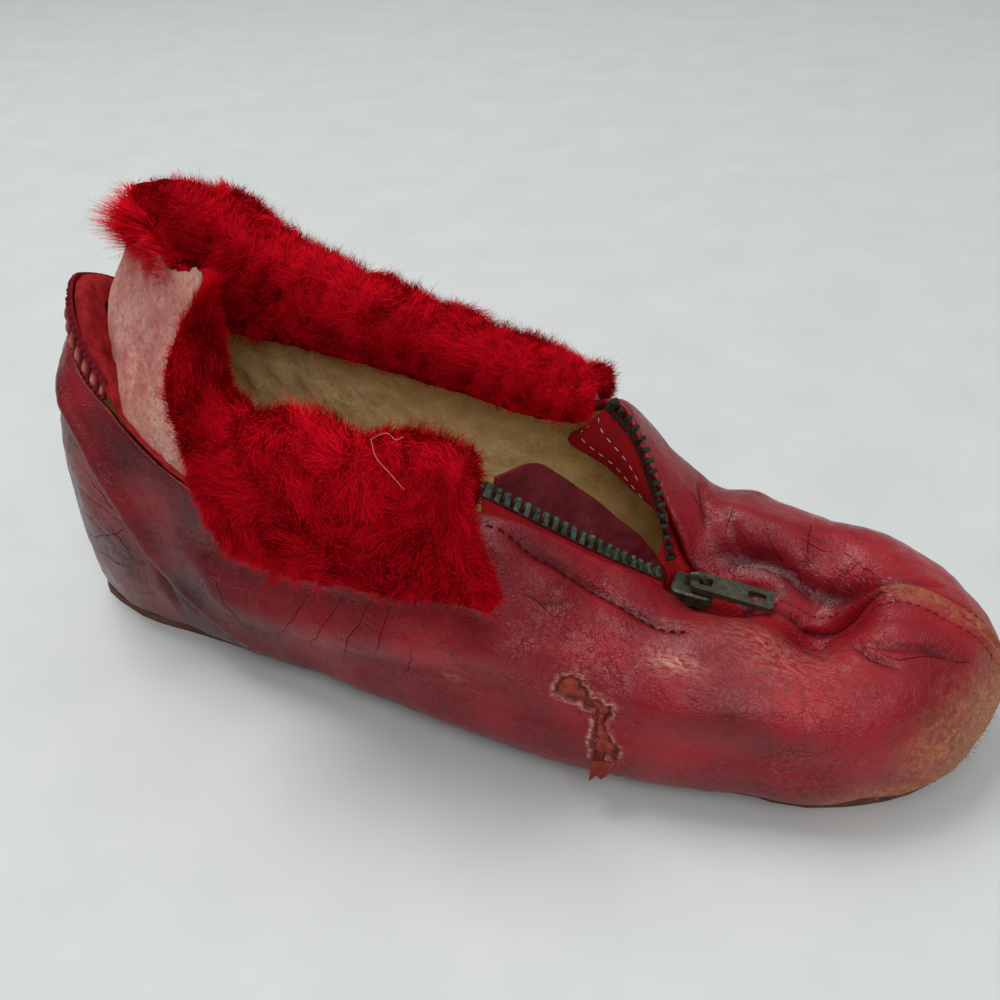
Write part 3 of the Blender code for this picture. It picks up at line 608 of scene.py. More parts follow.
def painted(tree, name):
    """A stored colour, as its three channels and its whole."""
    layer = node(tree, "ShaderNodeAttribute", {"attribute_name": name})
    split = node(tree, "ShaderNodeSeparateColor", None, {"Color": layer.outputs["Color"]})
    return split.outputs["Red"], split.outputs["Green"], split.outputs["Blue"], layer.outputs["Color"]


def bumped(tree, shader, *layers):
    """Stack bump layers, each a height, a strength and a depth in metres."""
    normal = None
    for height, strength, depth in layers:
        inputs = {"Height": height, "Strength": strength, "Distance": depth}
        if normal is not None:
            inputs["Normal"] = normal
        normal = node(tree, "ShaderNodeBump", None, inputs).outputs["Normal"]
    tree.links.new(normal, shader.inputs["Normal"])


def leather_material():
    made, tree, shader = start_material("burgundy_leather", 0.42, Specular_IOR_Level=0.42)
    tan, pale, torn, _ = painted(tree, "wear")
    # Stored masks of painted shade in creases and in the tear, of the seam line, and of lighter and darker
    # leather along the shoe
    crease_shade_and_seam, shade, rim, _ = painted(tree, "fade_seam_and_shade")
    fine = noise(tree, 700, 5, 0.65)
    wrinkle = noise(tree, 240, 6, 0.7, (1.0, 1.6, 0.8))
    cloud = patches(tree, 45, 4)
    # Dark to light by cloud and by the shade mask, whose low end at the foot of the wall is painted shade
    faded_and_shaded = maths(tree, "ADD", maths(tree, "MULTIPLY", cloud, 0.4), maths(tree, "MULTIPLY", shade, 0.75))
    base = mixed(tree, ranged(tree, faded_and_shaded, 0.05, 1.05), (0.060, 0.0010, 0.0040), (0.420, 0.0078, 0.0170))
    rub = maths(tree, "MULTIPLY", ranged(tree, fine, 0.52, 0.9, 0.0, 0.7), shade)
    base = mixed(tree, rub, base, (0.34, 0.035, 0.036))
    bent = warped(tree, 130, 0.006)
    broken = ranged(tree, noise(tree, 70, 4, 0.6), 0.42, 0.6)
    long_lines = contour(tree, noise(tree, 120, 3, 0.55, (0.6, 1.0, 1.5)), 0.014)
    short_lines = contour(tree, noise(tree, 300, 3, 0.55, (1.3, 1.0, 0.7)), 0.02)
    crack = maths(tree, "MULTIPLY", maths(tree, "MAXIMUM", long_lines, short_lines), broken)
    small = ranged(tree, cells(tree, 620, where=bent), 0.0, 0.09, 1.0, 0.0)
    base = mixed(tree, maths(tree, "MULTIPLY", crack, 0.4), base, (0.045, 0.002, 0.004))
    # Painted shade in the narrow creases, with the seam's own dark line at the toe
    base = mixed(tree, maths(tree, "MULTIPLY", crease_shade_and_seam, 0.85), base, (0.030, 0.002, 0.005))
    speck = ranged(tree, noise(tree, 520, 6, 0.75), 0.38, 0.62)
    tan_amount = maths(tree, "MULTIPLY", speck, tan)
    tan_sum = maths(tree, "ADD", tan_amount, maths(tree, "MULTIPLY", tan, 0.3))
    tan_full = ranged(tree, tan_sum, 0.08, 1.0, 0.0, 0.95)
    tan_tone = mixed(tree, patches(tree, 900, 4),
                     (0.34, 0.085, 0.030), (0.62, 0.28, 0.105))
    base = mixed(tree, tan_full, base, tan_tone)
    scratch = ranged(tree, noise(tree, 900, 5, 0.7, (0.5, 1.4, 1.4)), 0.42, 0.66)
    pale_full = maths(tree, "MULTIPLY", scratch, pale)
    base = mixed(tree, pale_full, base, (0.70, 0.36, 0.28))
    torn_tone = mixed(tree, ranged(tree, fine, 0.35, 0.65), (0.20, 0.014, 0.009), (0.48, 0.070, 0.038))
    base = mixed(tree, torn, base, torn_tone)
    # Painted shade just inside the edge of the tear
    base = mixed(tree, rim, base, (0.02, 0.003, 0.002))
    tree.links.new(base, shader.inputs["Base Color"])
    dry = maths(tree, "MAXIMUM", torn, maths(tree, "MAXIMUM", tan_full, pale_full))
    gloss = ranged(tree, noise(tree, 120, 4), 0.3, 0.7, 0.24, 0.36)
    rough = maths(tree, "ADD", gloss, maths(tree, "MULTIPLY", dry, 0.4))
    tree.links.new(rough, shader.inputs["Roughness"])
    bumped(tree, shader, (wrinkle, 0.28, 0.0014), (maths(tree, "SUBTRACT", 1.0, crack), 0.45, 0.0005),
           (maths(tree, "SUBTRACT", 1.0, small), 0.22, 0.0003), (fine, 0.10, 0.0003))
    return made


def plain_leather_material(name, dark, light):
    """Leather without a wear mask, for the guard flap and small pieces."""
    made, tree, shader = start_material(name, 0.5, Coat_Weight=0.05, Coat_Roughness=0.35,
                                        Specular_IOR_Level=0.18)
    base = mixed(tree, patches(tree, 120, 5), dark, light)
    tree.links.new(base, shader.inputs["Base Color"])
    tree.links.new(ranged(tree, noise(tree, 200, 4), 0.3, 0.7, 0.36, 0.6), shader.inputs["Roughness"])
    bumped(tree, shader, (noise(tree, 300, 6, 0.7), 0.35, 0.0010),
           (ranged(tree, cells(tree, 950), 0.0, 0.35), 0.22, 0.0004))
    return made


def plain_suede_material(name, dark, light):
    made, tree, shader = start_material(name, 0.95, Specular_IOR_Level=0.08)
    base = mixed(tree, patches(tree, 350, 6, 0.75), dark, light)
    tree.links.new(base, shader.inputs["Base Color"])
    bumped(tree, shader, (noise(tree, 700, 6, 0.8), 0.6, 0.0010))
    return made


def suede_material():
    made, tree, shader = start_material("pink_suede", 0.95, Specular_IOR_Level=0.1, Sheen_Weight=0.4,
                                        Sheen_Tint=(1.0, 0.72, 0.66, 1.0))
    stain, edge, _, _ = painted(tree, "stain")
    nap = noise(tree, 1500, 6, 0.8)
    patchy = patches(tree, 180, 5, 0.7)
    base = mixed(tree, patchy, (0.80, 0.26, 0.20), (1.0, 0.56, 0.44))
    base = mixed(tree, ranged(tree, nap, 0.45, 0.75, 0.0, 0.75), base, (0.95, 0.60, 0.48))
    speck = ranged(tree, noise(tree, 700, 5, 0.75), 0.54, 0.38, 0.0, 0.6)
    base = mixed(tree, speck, base, (0.36, 0.05, 0.042))
    red = maths(tree, "MULTIPLY", stain, ranged(tree, noise(tree, 130, 5, 0.7), 0.35, 0.65))
    base = mixed(tree, red, base, (0.52, 0.04, 0.05))
    base = mixed(tree, edge, base, (0.56, 0.30, 0.19))
    tree.links.new(base, shader.inputs["Base Color"])
    bumped(tree, shader, (noise(tree, 420, 6, 0.75), 0.8, 0.0012), (nap, 0.8, 0.0005))
    return made


def wool_material(name, grain):
    """Dyed wool in its stored tones, which hold painted shade in the deep and hollow places; grain is the
    strength of the bump.
    """
    made, tree, shader = start_material(name, 0.9, Specular_IOR_Level=0.04)
    tone_and_shade = painted(tree, "tone_and_shade")[3]
    mottle = ranged(tree, noise(tree, 240, 4), 0.3, 0.7, 0.75, 1.15)
    shaded = mixed(tree, 1.0, tone_and_shade, mixed(tree, mottle, (0, 0, 0), (1, 1, 1)), "MULTIPLY")
    tree.links.new(shaded, shader.inputs["Base Color"])
    if grain:
        bumped(tree, shader, (noise(tree, 700, 6, 0.75), grain, 0.0012))
    return made


def pile_material():
    made, tree, shader = start_material("tan_pile", 0.95, Specular_IOR_Level=0.05, Sheen_Weight=0.6,
                                        Sheen_Tint=(1.0, 0.82, 0.50, 1.0))
    nap = noise(tree, 900, 6, 0.75)
    patchy = patches(tree, 110, 5, 0.7)
    base = mixed(tree, patchy, (0.74, 0.45, 0.14), (1.0, 0.77, 0.37))
    wisp = contour(tree, noise(tree, 150, 5, 0.6, (0.7, 1.0, 1.3)), 0.035)
    base = mixed(tree, maths(tree, "MULTIPLY", wisp, 0.6), base, (1.0, 0.88, 0.55))
    base = mixed(tree, ranged(tree, nap, 0.45, 0.75, 0.0, 0.6), base, (0.92, 0.72, 0.39))
    tree.links.new(base, shader.inputs["Base Color"])
    bumped(tree, shader, (noise(tree, 380, 6, 0.75), 0.7, 0.0016), (nap, 0.5, 0.0006))
    return made


def tape_material():
    """Herringbone cloth; the stored weave place is in millimetres."""
    made, tree, shader = start_material("woven_tape", 0.9, Specular_IOR_Level=0.06)
    place = node(tree, "ShaderNodeAttribute", {"attribute_name": "weave"}).outputs["Vector"]
    split = node(tree, "ShaderNodeSeparateXYZ", None, {"Vector": place})
    chevron = maths(tree, "PINGPONG", split.outputs["Y"], 1.3)
    slant = maths(tree, "ADD", split.outputs["X"], chevron)
    thread = maths(tree, "PINGPONG", slant, 0.34)
    height = ranged(tree, thread, 0.0, 0.34)
    base = mixed(tree, height, (0.34, 0.008, 0.012), (0.78, 0.023, 0.030))
    base = mixed(tree, ranged(tree, noise(tree, 160, 4), 0.35, 0.7, 0.0, 0.4), base, (0.13, 0.012, 0.014))
    tree.links.new(base, shader.inputs["Base Color"])
    bumped(tree, shader, (height, 0.7, 0.0004), (noise(tree, 1600, 4), 0.3, 0.0002))
    return made


def metal_material(name, dark, light, green, green_amount):
    """Old brass gone dark, with verdigris in patches."""
    made, tree, shader = start_material(name, 0.5)
    base = mixed(tree, patches(tree, 600, 5, 0.65), dark, light)
    patch = ranged(tree, noise(tree, 330, 6, 0.7), 0.62 - green_amount * 0.3, 0.75 - green_amount * 0.2)
    base = mixed(tree, patch, base, green)
    tree.links.new(base, shader.inputs["Base Color"])
    tree.links.new(ranged(tree, patch, 0.0, 1.0, 0.75, 0.05), shader.inputs["Metallic"])
    tree.links.new(ranged(tree, noise(tree, 500, 5), 0.3, 0.7, 0.38, 0.7), shader.inputs["Roughness"])
    bumped(tree, shader, (noise(tree, 900, 6, 0.7), 0.4, 0.0003), (patch, 0.3, 0.0002))
    return made


def crease_shade_material():
    made, tree, shader = start_material("painted_crease_shade", 1.0, Specular_IOR_Level=0.0)
    # Colour of painted shade in fine creases
    base = mixed(tree, patches(tree, 500, 4),
                 (0.040, 0.0015, 0.003), (0.11, 0.005, 0.008))
    tree.links.new(base, shader.inputs["Base Color"])
    return made


def thread_material(name, dark, light):
    made, tree, shader = start_material(name, 0.8, Specular_IOR_Level=0.1)
    base = mixed(tree, patches(tree, 700, 4), dark, light)
    tree.links.new(base, shader.inputs["Base Color"])
    bumped(tree, shader, (noise(tree, 2500, 3), 0.4, 0.0002))
    return made


def sole_material():
    made, tree, shader = start_material("sole_leather", 0.8)
    patchy = patches(tree, 70, 6, 0.65)
    base = mixed(tree, patchy, (0.070, 0.016, 0.010), (0.16, 0.055, 0.030))
    rub = ranged(tree, noise(tree, 300, 6, 0.75, (0.4, 1.5, 1)), 0.5, 0.75, 0.0, 0.7)
    base = mixed(tree, rub, base, (0.26, 0.13, 0.08))
    tree.links.new(base, shader.inputs["Base Color"])
    bumped(tree, shader, (noise(tree, 420, 6, 0.75), 0.5, 0.0008))
    return made


def floor_material():
    made, tree, shader = start_material("pale_floor", 0.6)
    base = mixed(tree, patches(tree, 30, 5), (0.66, 0.69, 0.68), (0.71, 0.735, 0.725))
    tree.links.new(base, shader.inputs["Base Color"])
    return made


# Leather upper

def dense_stations():
    """Stations about 1.3 mm apart, closer together round the torn place."""
    fine = np.linspace(0, len(RIBS) - 1, 6001)
    line = upper_point(fine, 1.0, -1)
    size = run_of(line)
    near_tear = (line[:, 0] > TEAR_SPAN[0]) & (line[:, 0] < TEAR_SPAN[1])
    pace = np.where(near_tear, PACE_AT_TEAR, PACE)
    count = np.r_[0, np.cumsum(np.diff(size) / pace[1:])]
    wanted = np.linspace(0, count[-1], int(count[-1]) + 1)
    chosen = np.interp(wanted, count, fine)
    nearest = np.argmin(np.abs(chosen - ZIP_END_RIB))
    chosen[nearest] = ZIP_END_RIB
    return chosen


def dense_rows():
    return np.r_[np.linspace(0, 1, LOW_ROWS), 1 + np.linspace(0, 1, HIGH_ROWS)[1:]]


def line_field(places, points, half):
    """Height of a soft line of half width half over places in a plane, fading towards its ends."""
    knots = np.asarray(points, float)
    line = flowing(knots, np.linspace(0, 1, 10 * len(knots)))
    low = line.min(0) - 4 * half
    high = line.max(0) + 4 * half
    inside = np.all((places > low) & (places < high), axis=-1)
    out = np.zeros(places.shape[:-1])
    if not inside.any():
        return out
    spots = places[inside]
    best = np.full(len(spots), 1e9)
    along = np.zeros(len(spots))
    size = run_of(line)
    for k in range(len(line) - 1):
        way = line[k + 1] - line[k]
        t = np.clip((spots - line[k]) @ way / max(way @ way, 1e-9), 0, 1)
        away = np.linalg.norm(spots - line[k] - t[:, None] * way, axis=1)
        nearer = away < best
        best = np.where(nearer, away, best)
        along = np.where(nearer, size[k] + t * (size[k + 1] - size[k]), along)
    fade = min(0.3 * size[-1], 12.0)
    ends = smooth(0, fade, along) * smooth(0, fade, size[-1] - along)
    out[inside] = np.exp(-(best / half) ** 2) * np.maximum(ends, 0.05)
    return out


def polygon_depth(places, outline):
    """Distance inside a polygon, negative outside."""
    outline = np.asarray(outline, float)
    best = np.full(places.shape[:-1], 1e9)
    inside = np.zeros(places.shape[:-1], bool)
    for k in range(len(outline)):
        a = outline[k]
        b = outline[(k + 1) % len(outline)]
        way = b - a
        t = np.clip((places - a) @ way / (way @ way), 0, 1)
        best = np.minimum(best, np.linalg.norm(places - a - t[..., None] * way, axis=-1))
        crosses = (a[1] > places[..., 1]) != (b[1] > places[..., 1])
        rise = b[1] - a[1] if abs(b[1] - a[1]) > 1e-9 else 1e-9
        at_x = a[0] + (places[..., 1] - a[1]) / rise * way[0]
        inside ^= crosses & (places[..., 0] < at_x)
    return np.where(inside, best, -best)


def leather_relief(points, side):
    """Height of creases and seams over the leather, and its masks, which include painted shade in creases
    and in the tear.
    """
    x, y, z = points[..., 0], points[..., 1], points[..., 2]
    height = np.zeros(x.shape)
    dark = np.zeros(x.shape)
    plan = points[..., [0, 1]]
    flank = points[..., [0, 2]]
    name = "near" if side < 0 else "far"
    on_top = smooth(16, 24, z)
    for which, plane, half, rise, line in FOLDS:
        if which not in (name, "both"):
            continue
        field = line_field(plan if plane == "top" else flank, line, half)
        if plane == "top":
            field = field * on_top
        height = height + rise * field
        # Narrow troughs also darken the colour: painted shade in the creases
        if rise < 0 and half < DARK_FOLD_HALF:
            dark = np.maximum(dark, field * min(1.0, 0.35 - 0.25 * rise))
    height = height + 0.20 * waves(points, 11, 40, 12, 30) + 0.05 * waves(points, 12, 40, 3.5, 7)
    # Centre seam of the toe, with a stitched row on each side
    off = np.abs(y - seam_y(x))
    run = smooth(195, 203, x) * smooth(9, 16, z)
    seam = (-1.0 * np.exp(-(off / 0.6) ** 2) + 0.7 * np.exp(-((off - 1.8) / 1.1) ** 2)
            - 0.3 * np.exp(-((off - 3.6) / 0.5) ** 2))
    height = height + run * seam
    dark = np.maximum(dark, run * np.exp(-(off / 0.5) ** 2))
    # Toe rubbed to tan in front, low down and along the seam
    rough = waves(points, 13, 50, 6, 30)
    front = smooth(219, 247, x + 0.18 * (y - 6) + 2.0 * rough) * smooth(40, 18, z + rough)
    low_front = smooth(206, 236, x + 2 * rough) * smooth(19, 6, z) * 0.9
    ridge = smooth(219, 226, x) * smooth(252, 243, x) * smooth(4.5, 1.0, off) * on_top * 0.55
    tan = np.clip(np.maximum(np.maximum(front, low_front), ridge), 0, 1)
    # Pale scuffs and the torn place, both on the lateral side
    pale = np.zeros(x.shape)
    if side < 0:
        for plane, strength, mid_x, half_x, mid, half in PALE_SPOTS:
            level = y if plane == "top" else z
            spot = strength * np.exp(-((x - mid_x) / half_x) ** 2 - ((level - mid) / half) ** 2)
            pale = np.maximum(pale, spot * on_top if plane == "top" else spot)
    torn = np.zeros(x.shape)
    tear_rim_shade = np.zeros(x.shape)
    if side < 0:
        ragged = 0.22 * waves(flank, 14, 24, 1.6, 4.0)
        deep = polygon_depth(flank, TEAR) + ragged
        height = height - TEAR_DEPTH * smooth(-0.1, 0.7, deep) + 0.4 * np.exp(-((deep + 0.6) / 0.7) ** 2)
        torn = smooth(0.0, 0.4, deep)
        pale = np.maximum(pale, 1.2 * np.exp(-((deep + 0.25) / 0.5) ** 2))
        # Painted shade just inside the tear's edge, under the torn lip
        tear_rim_shade = 0.85 * np.exp(-((deep - 0.55) / 0.4) ** 2) * smooth(0, 0.3, deep)
    # Lighter towards the toe and darker at the heel, with painted shade darkening the foot of the wall
    # where the side turns under
    shade = (0.08 + 0.52 * smooth(25, 140, x) + 0.12 * smooth(180, 230, x) - 0.30 * smooth(24, 5, z)
             + 0.13 * waves(points, 15, 30, 15, 50))
    wear = np.stack([tan, np.clip(pale, 0, 1), torn], -1)
    # Masks: painted shade in creases with the seam's dark line, lighter and darker leather along the shoe,
    # painted shade inside the tear
    fade_seam_and_shade = np.stack([np.clip(dark, 0, 1), np.clip(shade, 0, 1), tear_rim_shade], -1)
    return height, wear, fade_seam_and_shade


def join_halves(work):
    """Weld the two halves where they meet and drop the slivers this leaves."""
    bmesh.ops.remove_doubles(work, verts=work.verts, dist=0.00002)
    bmesh.ops.dissolve_degenerate(work, edges=work.edges, dist=0.000005)


def build_upper(material):
    """Both halves of the leather in one mesh, joined along the heel, the toe and the centre seam."""
    at = dense_stations()
    rows = dense_rows()
    grids = []
    wears = []
    fade_seam_and_shade_layers = []
    for side in (-1, 1):
        base = upper_point(at[:, None], rows[None, :], side)
        normal = np.cross(np.gradient(base, axis=0), np.gradient(base, axis=1)) * (-side)
        flat = np.linalg.norm(normal, axis=-1) < 1e-5
        normal = unit(normal)
        normal[flat] = (0, 0, 1)
        height, wear, fade_seam_and_shade = leather_relief(base, side)
        grids.append(base + normal * height[..., None])
        wears.append(wear)
        fade_seam_and_shade_layers.append(fade_seam_and_shade)
    near, far = grids
    top = at >= ZIP_END_RIB - 1e-6
    for cut in ((0, slice(None)), (-1, slice(None)), (top, -1)):
        middle = (near[cut] + far[cut]) / 2
        near[cut] = middle
        far[cut] = middle
    count = near.shape[0] * near.shape[1]
    faces = np.concatenate([grid_faces(*near.shape[:2]), grid_faces(*far.shape[:2], count, True)])
    points = np.concatenate([near.reshape(-1, 3), far.reshape(-1, 3)])
    made = array_mesh("leather_upper", points, faces, material)
    paint(made, "wear", np.concatenate([w.reshape(-1, 3) for w in wears]))
    paint(made, "fade_seam_and_shade", np.concatenate([f.reshape(-1, 3) for f in fade_seam_and_shade_layers]))
    reworked(made, join_halves)
    wall = made.modifiers.new("wall", "SOLIDIFY")
    wall.thickness = WALL * MM
    wall.offset = -1.0
    belongs(made, "upper")
    return made


def surface_tree(made):
    """Tree for finding places on a finished mesh, in metres."""
    return BVHTree.FromObject(made, bpy.context.evaluated_depsgraph_get())


def drop_on(tree, spots, lift, plane="top"):
    """Points of a surface straight below places given in plan, or straight in from the lateral side."""
    out = []
    for across, level in spots:
        if plane == "top":
            place = to_world(np.array([across, level, 130.0]))
            way = Vector((0, 0, -1))
        else:
            place = to_world(np.array([across, -130.0, level]))
            way = Vector((0, 1, 0))
        hit = tree.ray_cast(Vector(place), way)
        if hit[0] is None:
            continue
        spot = np.array(hit[0]) / MM
        spot[0] += ORIGIN_X
        out.append(spot + np.array(hit[1]) * lift)
    return np.array(out)


CREASE_ROUND = 0.13
CREASE_SINK = 0.04
CREASE_POINTS = 24


def build_creases(upper):
    """Thin dark tubes sunk in the leather: painted shade along fine creases."""
    tree = surface_tree(upper)
    lines = []
    for number, (plane, points) in enumerate(CREASES):
        flat = flowing(points, np.linspace(0, 1, CREASE_POINTS))
        sway = [waves(flat, 150 + number, 8, 3, 9), waves(flat, 190 + number, 8, 3, 9)]
        flat = flat + 0.25 * np.stack(sway, -1)
        line = drop_on(tree, flat, -CREASE_SINK, plane)
        if len(line) == CREASE_POINTS:
            lines.append(line)
    taper = np.sin(np.pi * np.linspace(0.04, 0.96, CREASE_POINTS)) ** 0.6
    made = tubes("fine_crease_shade_lines", lines, CREASE_ROUND, crease_shade_material(), 5, taper)
    belongs(made)


def stitch_lines(line, long, pitch, sink):
    """Short rounded stitches along a line of points."""
    size = run_of(line)
    out = []
    for begin in np.arange(0.2, size[-1] - long, pitch):
        marks = begin + long * np.linspace(0, 1, 5)
        spot = np.stack([np.interp(marks, size, line[:, k]) for k in range(3)], -1)
        spot[0] -= np.array([0, 0, sink])
        spot[-1] -= np.array([0, 0, sink])
        out.append(spot)
    return out


# Stitches: taper of a stitch, then length, pitch and sunk ends for each kind
STITCH_ROUND = (0.35, 0.9, 1.0, 0.9, 0.35)
ZIP_STITCH = (1.7, 2.7, 0.35)
TOE_STITCH = (1.3, 2.1, 0.3)
TAPE_STITCH = (1.5, 2.9, 0.0)
TOE_SEAM_SPAN = (199, 247.5)
TOE_ROW_OFFSET = 3.6


def build_upper_stitches(upper):
    """Topstitch beside the zip and the two rows along the toe seam."""
    tree = surface_tree(upper)
    zip_line = drop_on(tree, flowing(ZIP_SEAM, np.linspace(0, 1, 160)), 0.1)
    lines = stitch_lines(zip_line, *ZIP_STITCH)
    thread = thread_material("maroon_thread", (0.040, 0.003, 0.004), (0.10, 0.010, 0.012))
    zip_row = tubes("zip_topstitch", lines, 0.3, thread, 6, STITCH_ROUND)
    x = np.linspace(*TOE_SEAM_SPAN, 260)
    toe = []
    for offset in (-TOE_ROW_OFFSET, TOE_ROW_OFFSET):
        toe += stitch_lines(drop_on(tree, np.stack([x, seam_y(x) + offset], -1), 0.12), *TOE_STITCH)
    worn = thread_material("worn_thread", (0.09, 0.018, 0.014), (0.24, 0.085, 0.05))
    toe_rows = tubes("toe_seam_stitches", toe, 0.26, worn, 6, STITCH_ROUND)
    for made in (zip_row, toe_rows):
        belongs(made)


def build_tear_flap(material):
    """Torn tongue of leather turned out below the tear."""
    across = np.linspace(0, 1, 24)
    down = np.linspace(0, 1, 12)
    u, v = np.meshgrid(across, down, indexing="ij")
    ragged = 1 + (0.22 * np.sin(u * 9 + 0.5) + 0.10 * np.sin(u * 27)) * v
    x = 172.4 + (u - 0.5) * 5.6 * (1 - 0.35 * v) - 0.8 * v
    z = 12.9 + 2.0 * u - (3.3 * v - 0.5 * v * v) * ragged
    reach = np.interp(x, [165, 178], [40.4, 40.2]) + 2.6 * np.sin(np.clip(v * 1.9, 0, math.pi / 2))
    y = -reach - 0.4
    grid = np.stack([x, y, z], -1)
    normal = grid_normals(grid)
    made = sheet_body("tear_flap", grid - normal * 0.35, grid + normal * 0.35, material)
    belongs(made)


# Lining and insole

LINING_FOOT = 0.25
LINING_TOP = 1.90
LINING_END = 15.6
LINING_COUNT = 170
LINING_DROP = 0.3
THROAT_ROW = 1.45
TAPE_ROWS = {-1: 1.84, 1: 1.60}
TAPE_STATIONS = {-1: (6.8, 7.3), 1: (7.5, 8.2)}


def build_lining(material):
    """Pile lining against the inside of the wall, ending below the zip tapes."""
    share = np.r_[np.linspace(0, 0.44, 5), np.linspace(0.44, 1, 30)[1:]]
    for side, name, count in ((-1, "pile_lining_near", 90), (1, "pile_lining_far", LINING_COUNT)):
        at = np.linspace(0.0, LINING_END, count)
        under_tape = smooth(*TAPE_STATIONS[side], at) * smooth(10.2, 9.8, at)
        top = LINING_TOP + (TAPE_ROWS[side] - LINING_TOP) * under_tape
        top = top - LINING_DROP * smooth(1.4, 2.2, at) * smooth(5.0, 4.2, at) * (side < 0)
        throat = smooth(9.5, 9.9, at) * smooth(12.5, 12.1, at)
        top = np.minimum(top, LINING_TOP - (LINING_TOP - THROAT_ROW) * throat)
        rows = LINING_FOOT + (top[:, None] - LINING_FOOT) * share[None, :]
        base = upper_point(at[:, None], rows, side)
        normal = np.nan_to_num(grid_normals(base) * (-side))
        sag = 0.5 * (1 + waves(base, 31, 40, 6, 16)) + 0.2 * (1 + waves(base, 32, 40, 2.5, 5))
        sunk = np.clip(-leather_relief(base, side)[0], 0, None) + (0.6 if side < 0 else 0.0)
        outer = base - normal * (WALL + 0.25 + sunk)[..., None]
        inner = base - normal * (WALL + 0.6 + np.clip(sag, 0, 1.9) + sunk)[..., None]
        made = sheet_body(name, inner, outer, material)
        belongs(made)
        if side > 0:
            build_lining_pile(inner, -normal, material)


LINING_HAIRS = 10500
HAIR_STEPS = np.linspace(0, 1, 3)


def build_lining_pile(grid, inward, material):
    """Short standing fibres on the part of the lining that shows."""
    chance = np.random.default_rng(33)
    i = chance.uniform(24, 108, LINING_HAIRS)
    j = chance.uniform(11, grid.shape[1] - 1.5, LINING_HAIRS)
    root = sample_grid(grid, i, j)
    stand = unit(sample_grid(inward, i, j))
    lean = chance.normal(0, 0.5, (LINING_HAIRS, 3)) + np.array([0.5, 0, -0.45])
    way = unit(stand + lean + 0.5 * waves(root, 34, 30, 5, 14)[:, None] * np.array([1.0, 0, 0.6]))
    long = chance.uniform(1.0, 2.4, LINING_HAIRS)
    bend = chance.normal(0, 0.35, (LINING_HAIRS, 3))
    steps = HAIR_STEPS
    path = (root[:, None] + way[:, None] * (steps[None, :, None] * long[:, None, None])
            + bend[:, None] * (steps ** 2)[None, :, None])
    made = ribbons("lining_pile", path, 0.10, material, chance, stand)
    belongs(made)


def build_insole(material):
    """Pile sock on the sole, within the foot of the wall."""
    at = np.linspace(0, len(RIBS) - 1, 80)
    inset = WALL + 1.6 + rib_value("tuck", at)
    near = plan_point(at, -1, rib_value("near", at) - inset)
    far = plan_point(at, 1, rib_value("far", at) - inset)
    t = np.linspace(0, 1, 24)
    flat = near[:, None] * (1 - t)[None, :, None] + far[:, None] * t[None, :, None]
    low = lift_at(flat[..., 0]) + SOLE_THICK + GAP
    under = np.concatenate([flat, low[..., None]], -1)
    fluff = 0.3 * waves(flat, 35, 40, 4, 14)
    over = np.concatenate([flat, (low + INSOLE_THICK + fluff)[..., None]], -1)
    made = sheet_body("pile_insole", under, over, material)
    belongs(made, "insole")


# Cuff

def collar_frame(rib):
    """Collar edge and its outward way at ribs counted from the heel, negative on the lateral side."""
    rib = np.asarray(rib, float)
    edges = np.zeros((len(rib), 3))
    outs = np.zeros((len(rib), 3))
    for side in (-1, 1):
        mine = rib < 0 if side < 0 else rib >= 0
        station = np.abs(rib[mine])
        edges[mine] = upper_point(station, np.full(len(station), 2.0), side)
        way = rib_plan(station, side)[1]
        outs[mine, :2] = unit(way)
    return edges, outs


def cuff_grid(along, across):
    """Middle of the cuff strip, its wool side direction and the depth of the wool."""
    knots = np.array([row[0] for row in CUFF], float)
    rib = np.interp(np.linspace(0, 1, along), np.linspace(0, 1, len(knots)), knots)
    edges, outs = collar_frame(rib)
    t = np.linspace(0, 1, across)
    places = np.zeros((along, 5, 2))
    for k in range(5):
        for m in (0, 1):
            places[:, k, m] = eased(knots, [row[k + 1][m] for row in CUFF], rib)
    slump = eased(knots, [row[6] for row in CUFF], rib)
    depth = eased(knots, [row[7] for row in CUFF], rib)
    up = np.array([0, 0, 1.0])
    grid = np.zeros((along, across, 3))
    wool = np.zeros((along, across, 3))
    for i in range(along):
        line = flowing(places[i], t)
        way = unit(np.gradient(line, axis=0))
        grid[i] = edges[i] + line[:, :1] * outs[i] + line[:, 1:] * up
        grid[i, :, 0] += slump[i] * t ** 1.3
        wool[i] = -way[:, 1:] * outs[i] + way[:, :1] * up
    swell = 0.30 + 0.70 * np.sin(np.pi * np.clip(0.08 + 0.80 * t ** 1.6, 0, 1)) ** 0.7
    return grid, wool, depth[:, None] * swell[None, :]


def sample_grid(grid, i, j):
    """Values of a grid between its points."""
    i0 = np.clip(np.floor(i).astype(int), 0, grid.shape[0] - 2)
    j0 = np.clip(np.floor(j).astype(int), 0, grid.shape[1] - 2)
    a = (i - i0)[:, None]
    b = (j - j0)[:, None]
    cell = grid if grid.ndim == 3 else grid[..., None]
    out = (cell[i0, j0] * (1 - a) * (1 - b) + cell[i0 + 1, j0] * a * (1 - b)
           + cell[i0, j0 + 1] * (1 - a) * b + cell[i0 + 1, j0 + 1] * a * b)
    return out if grid.ndim == 3 else out[:, 0]


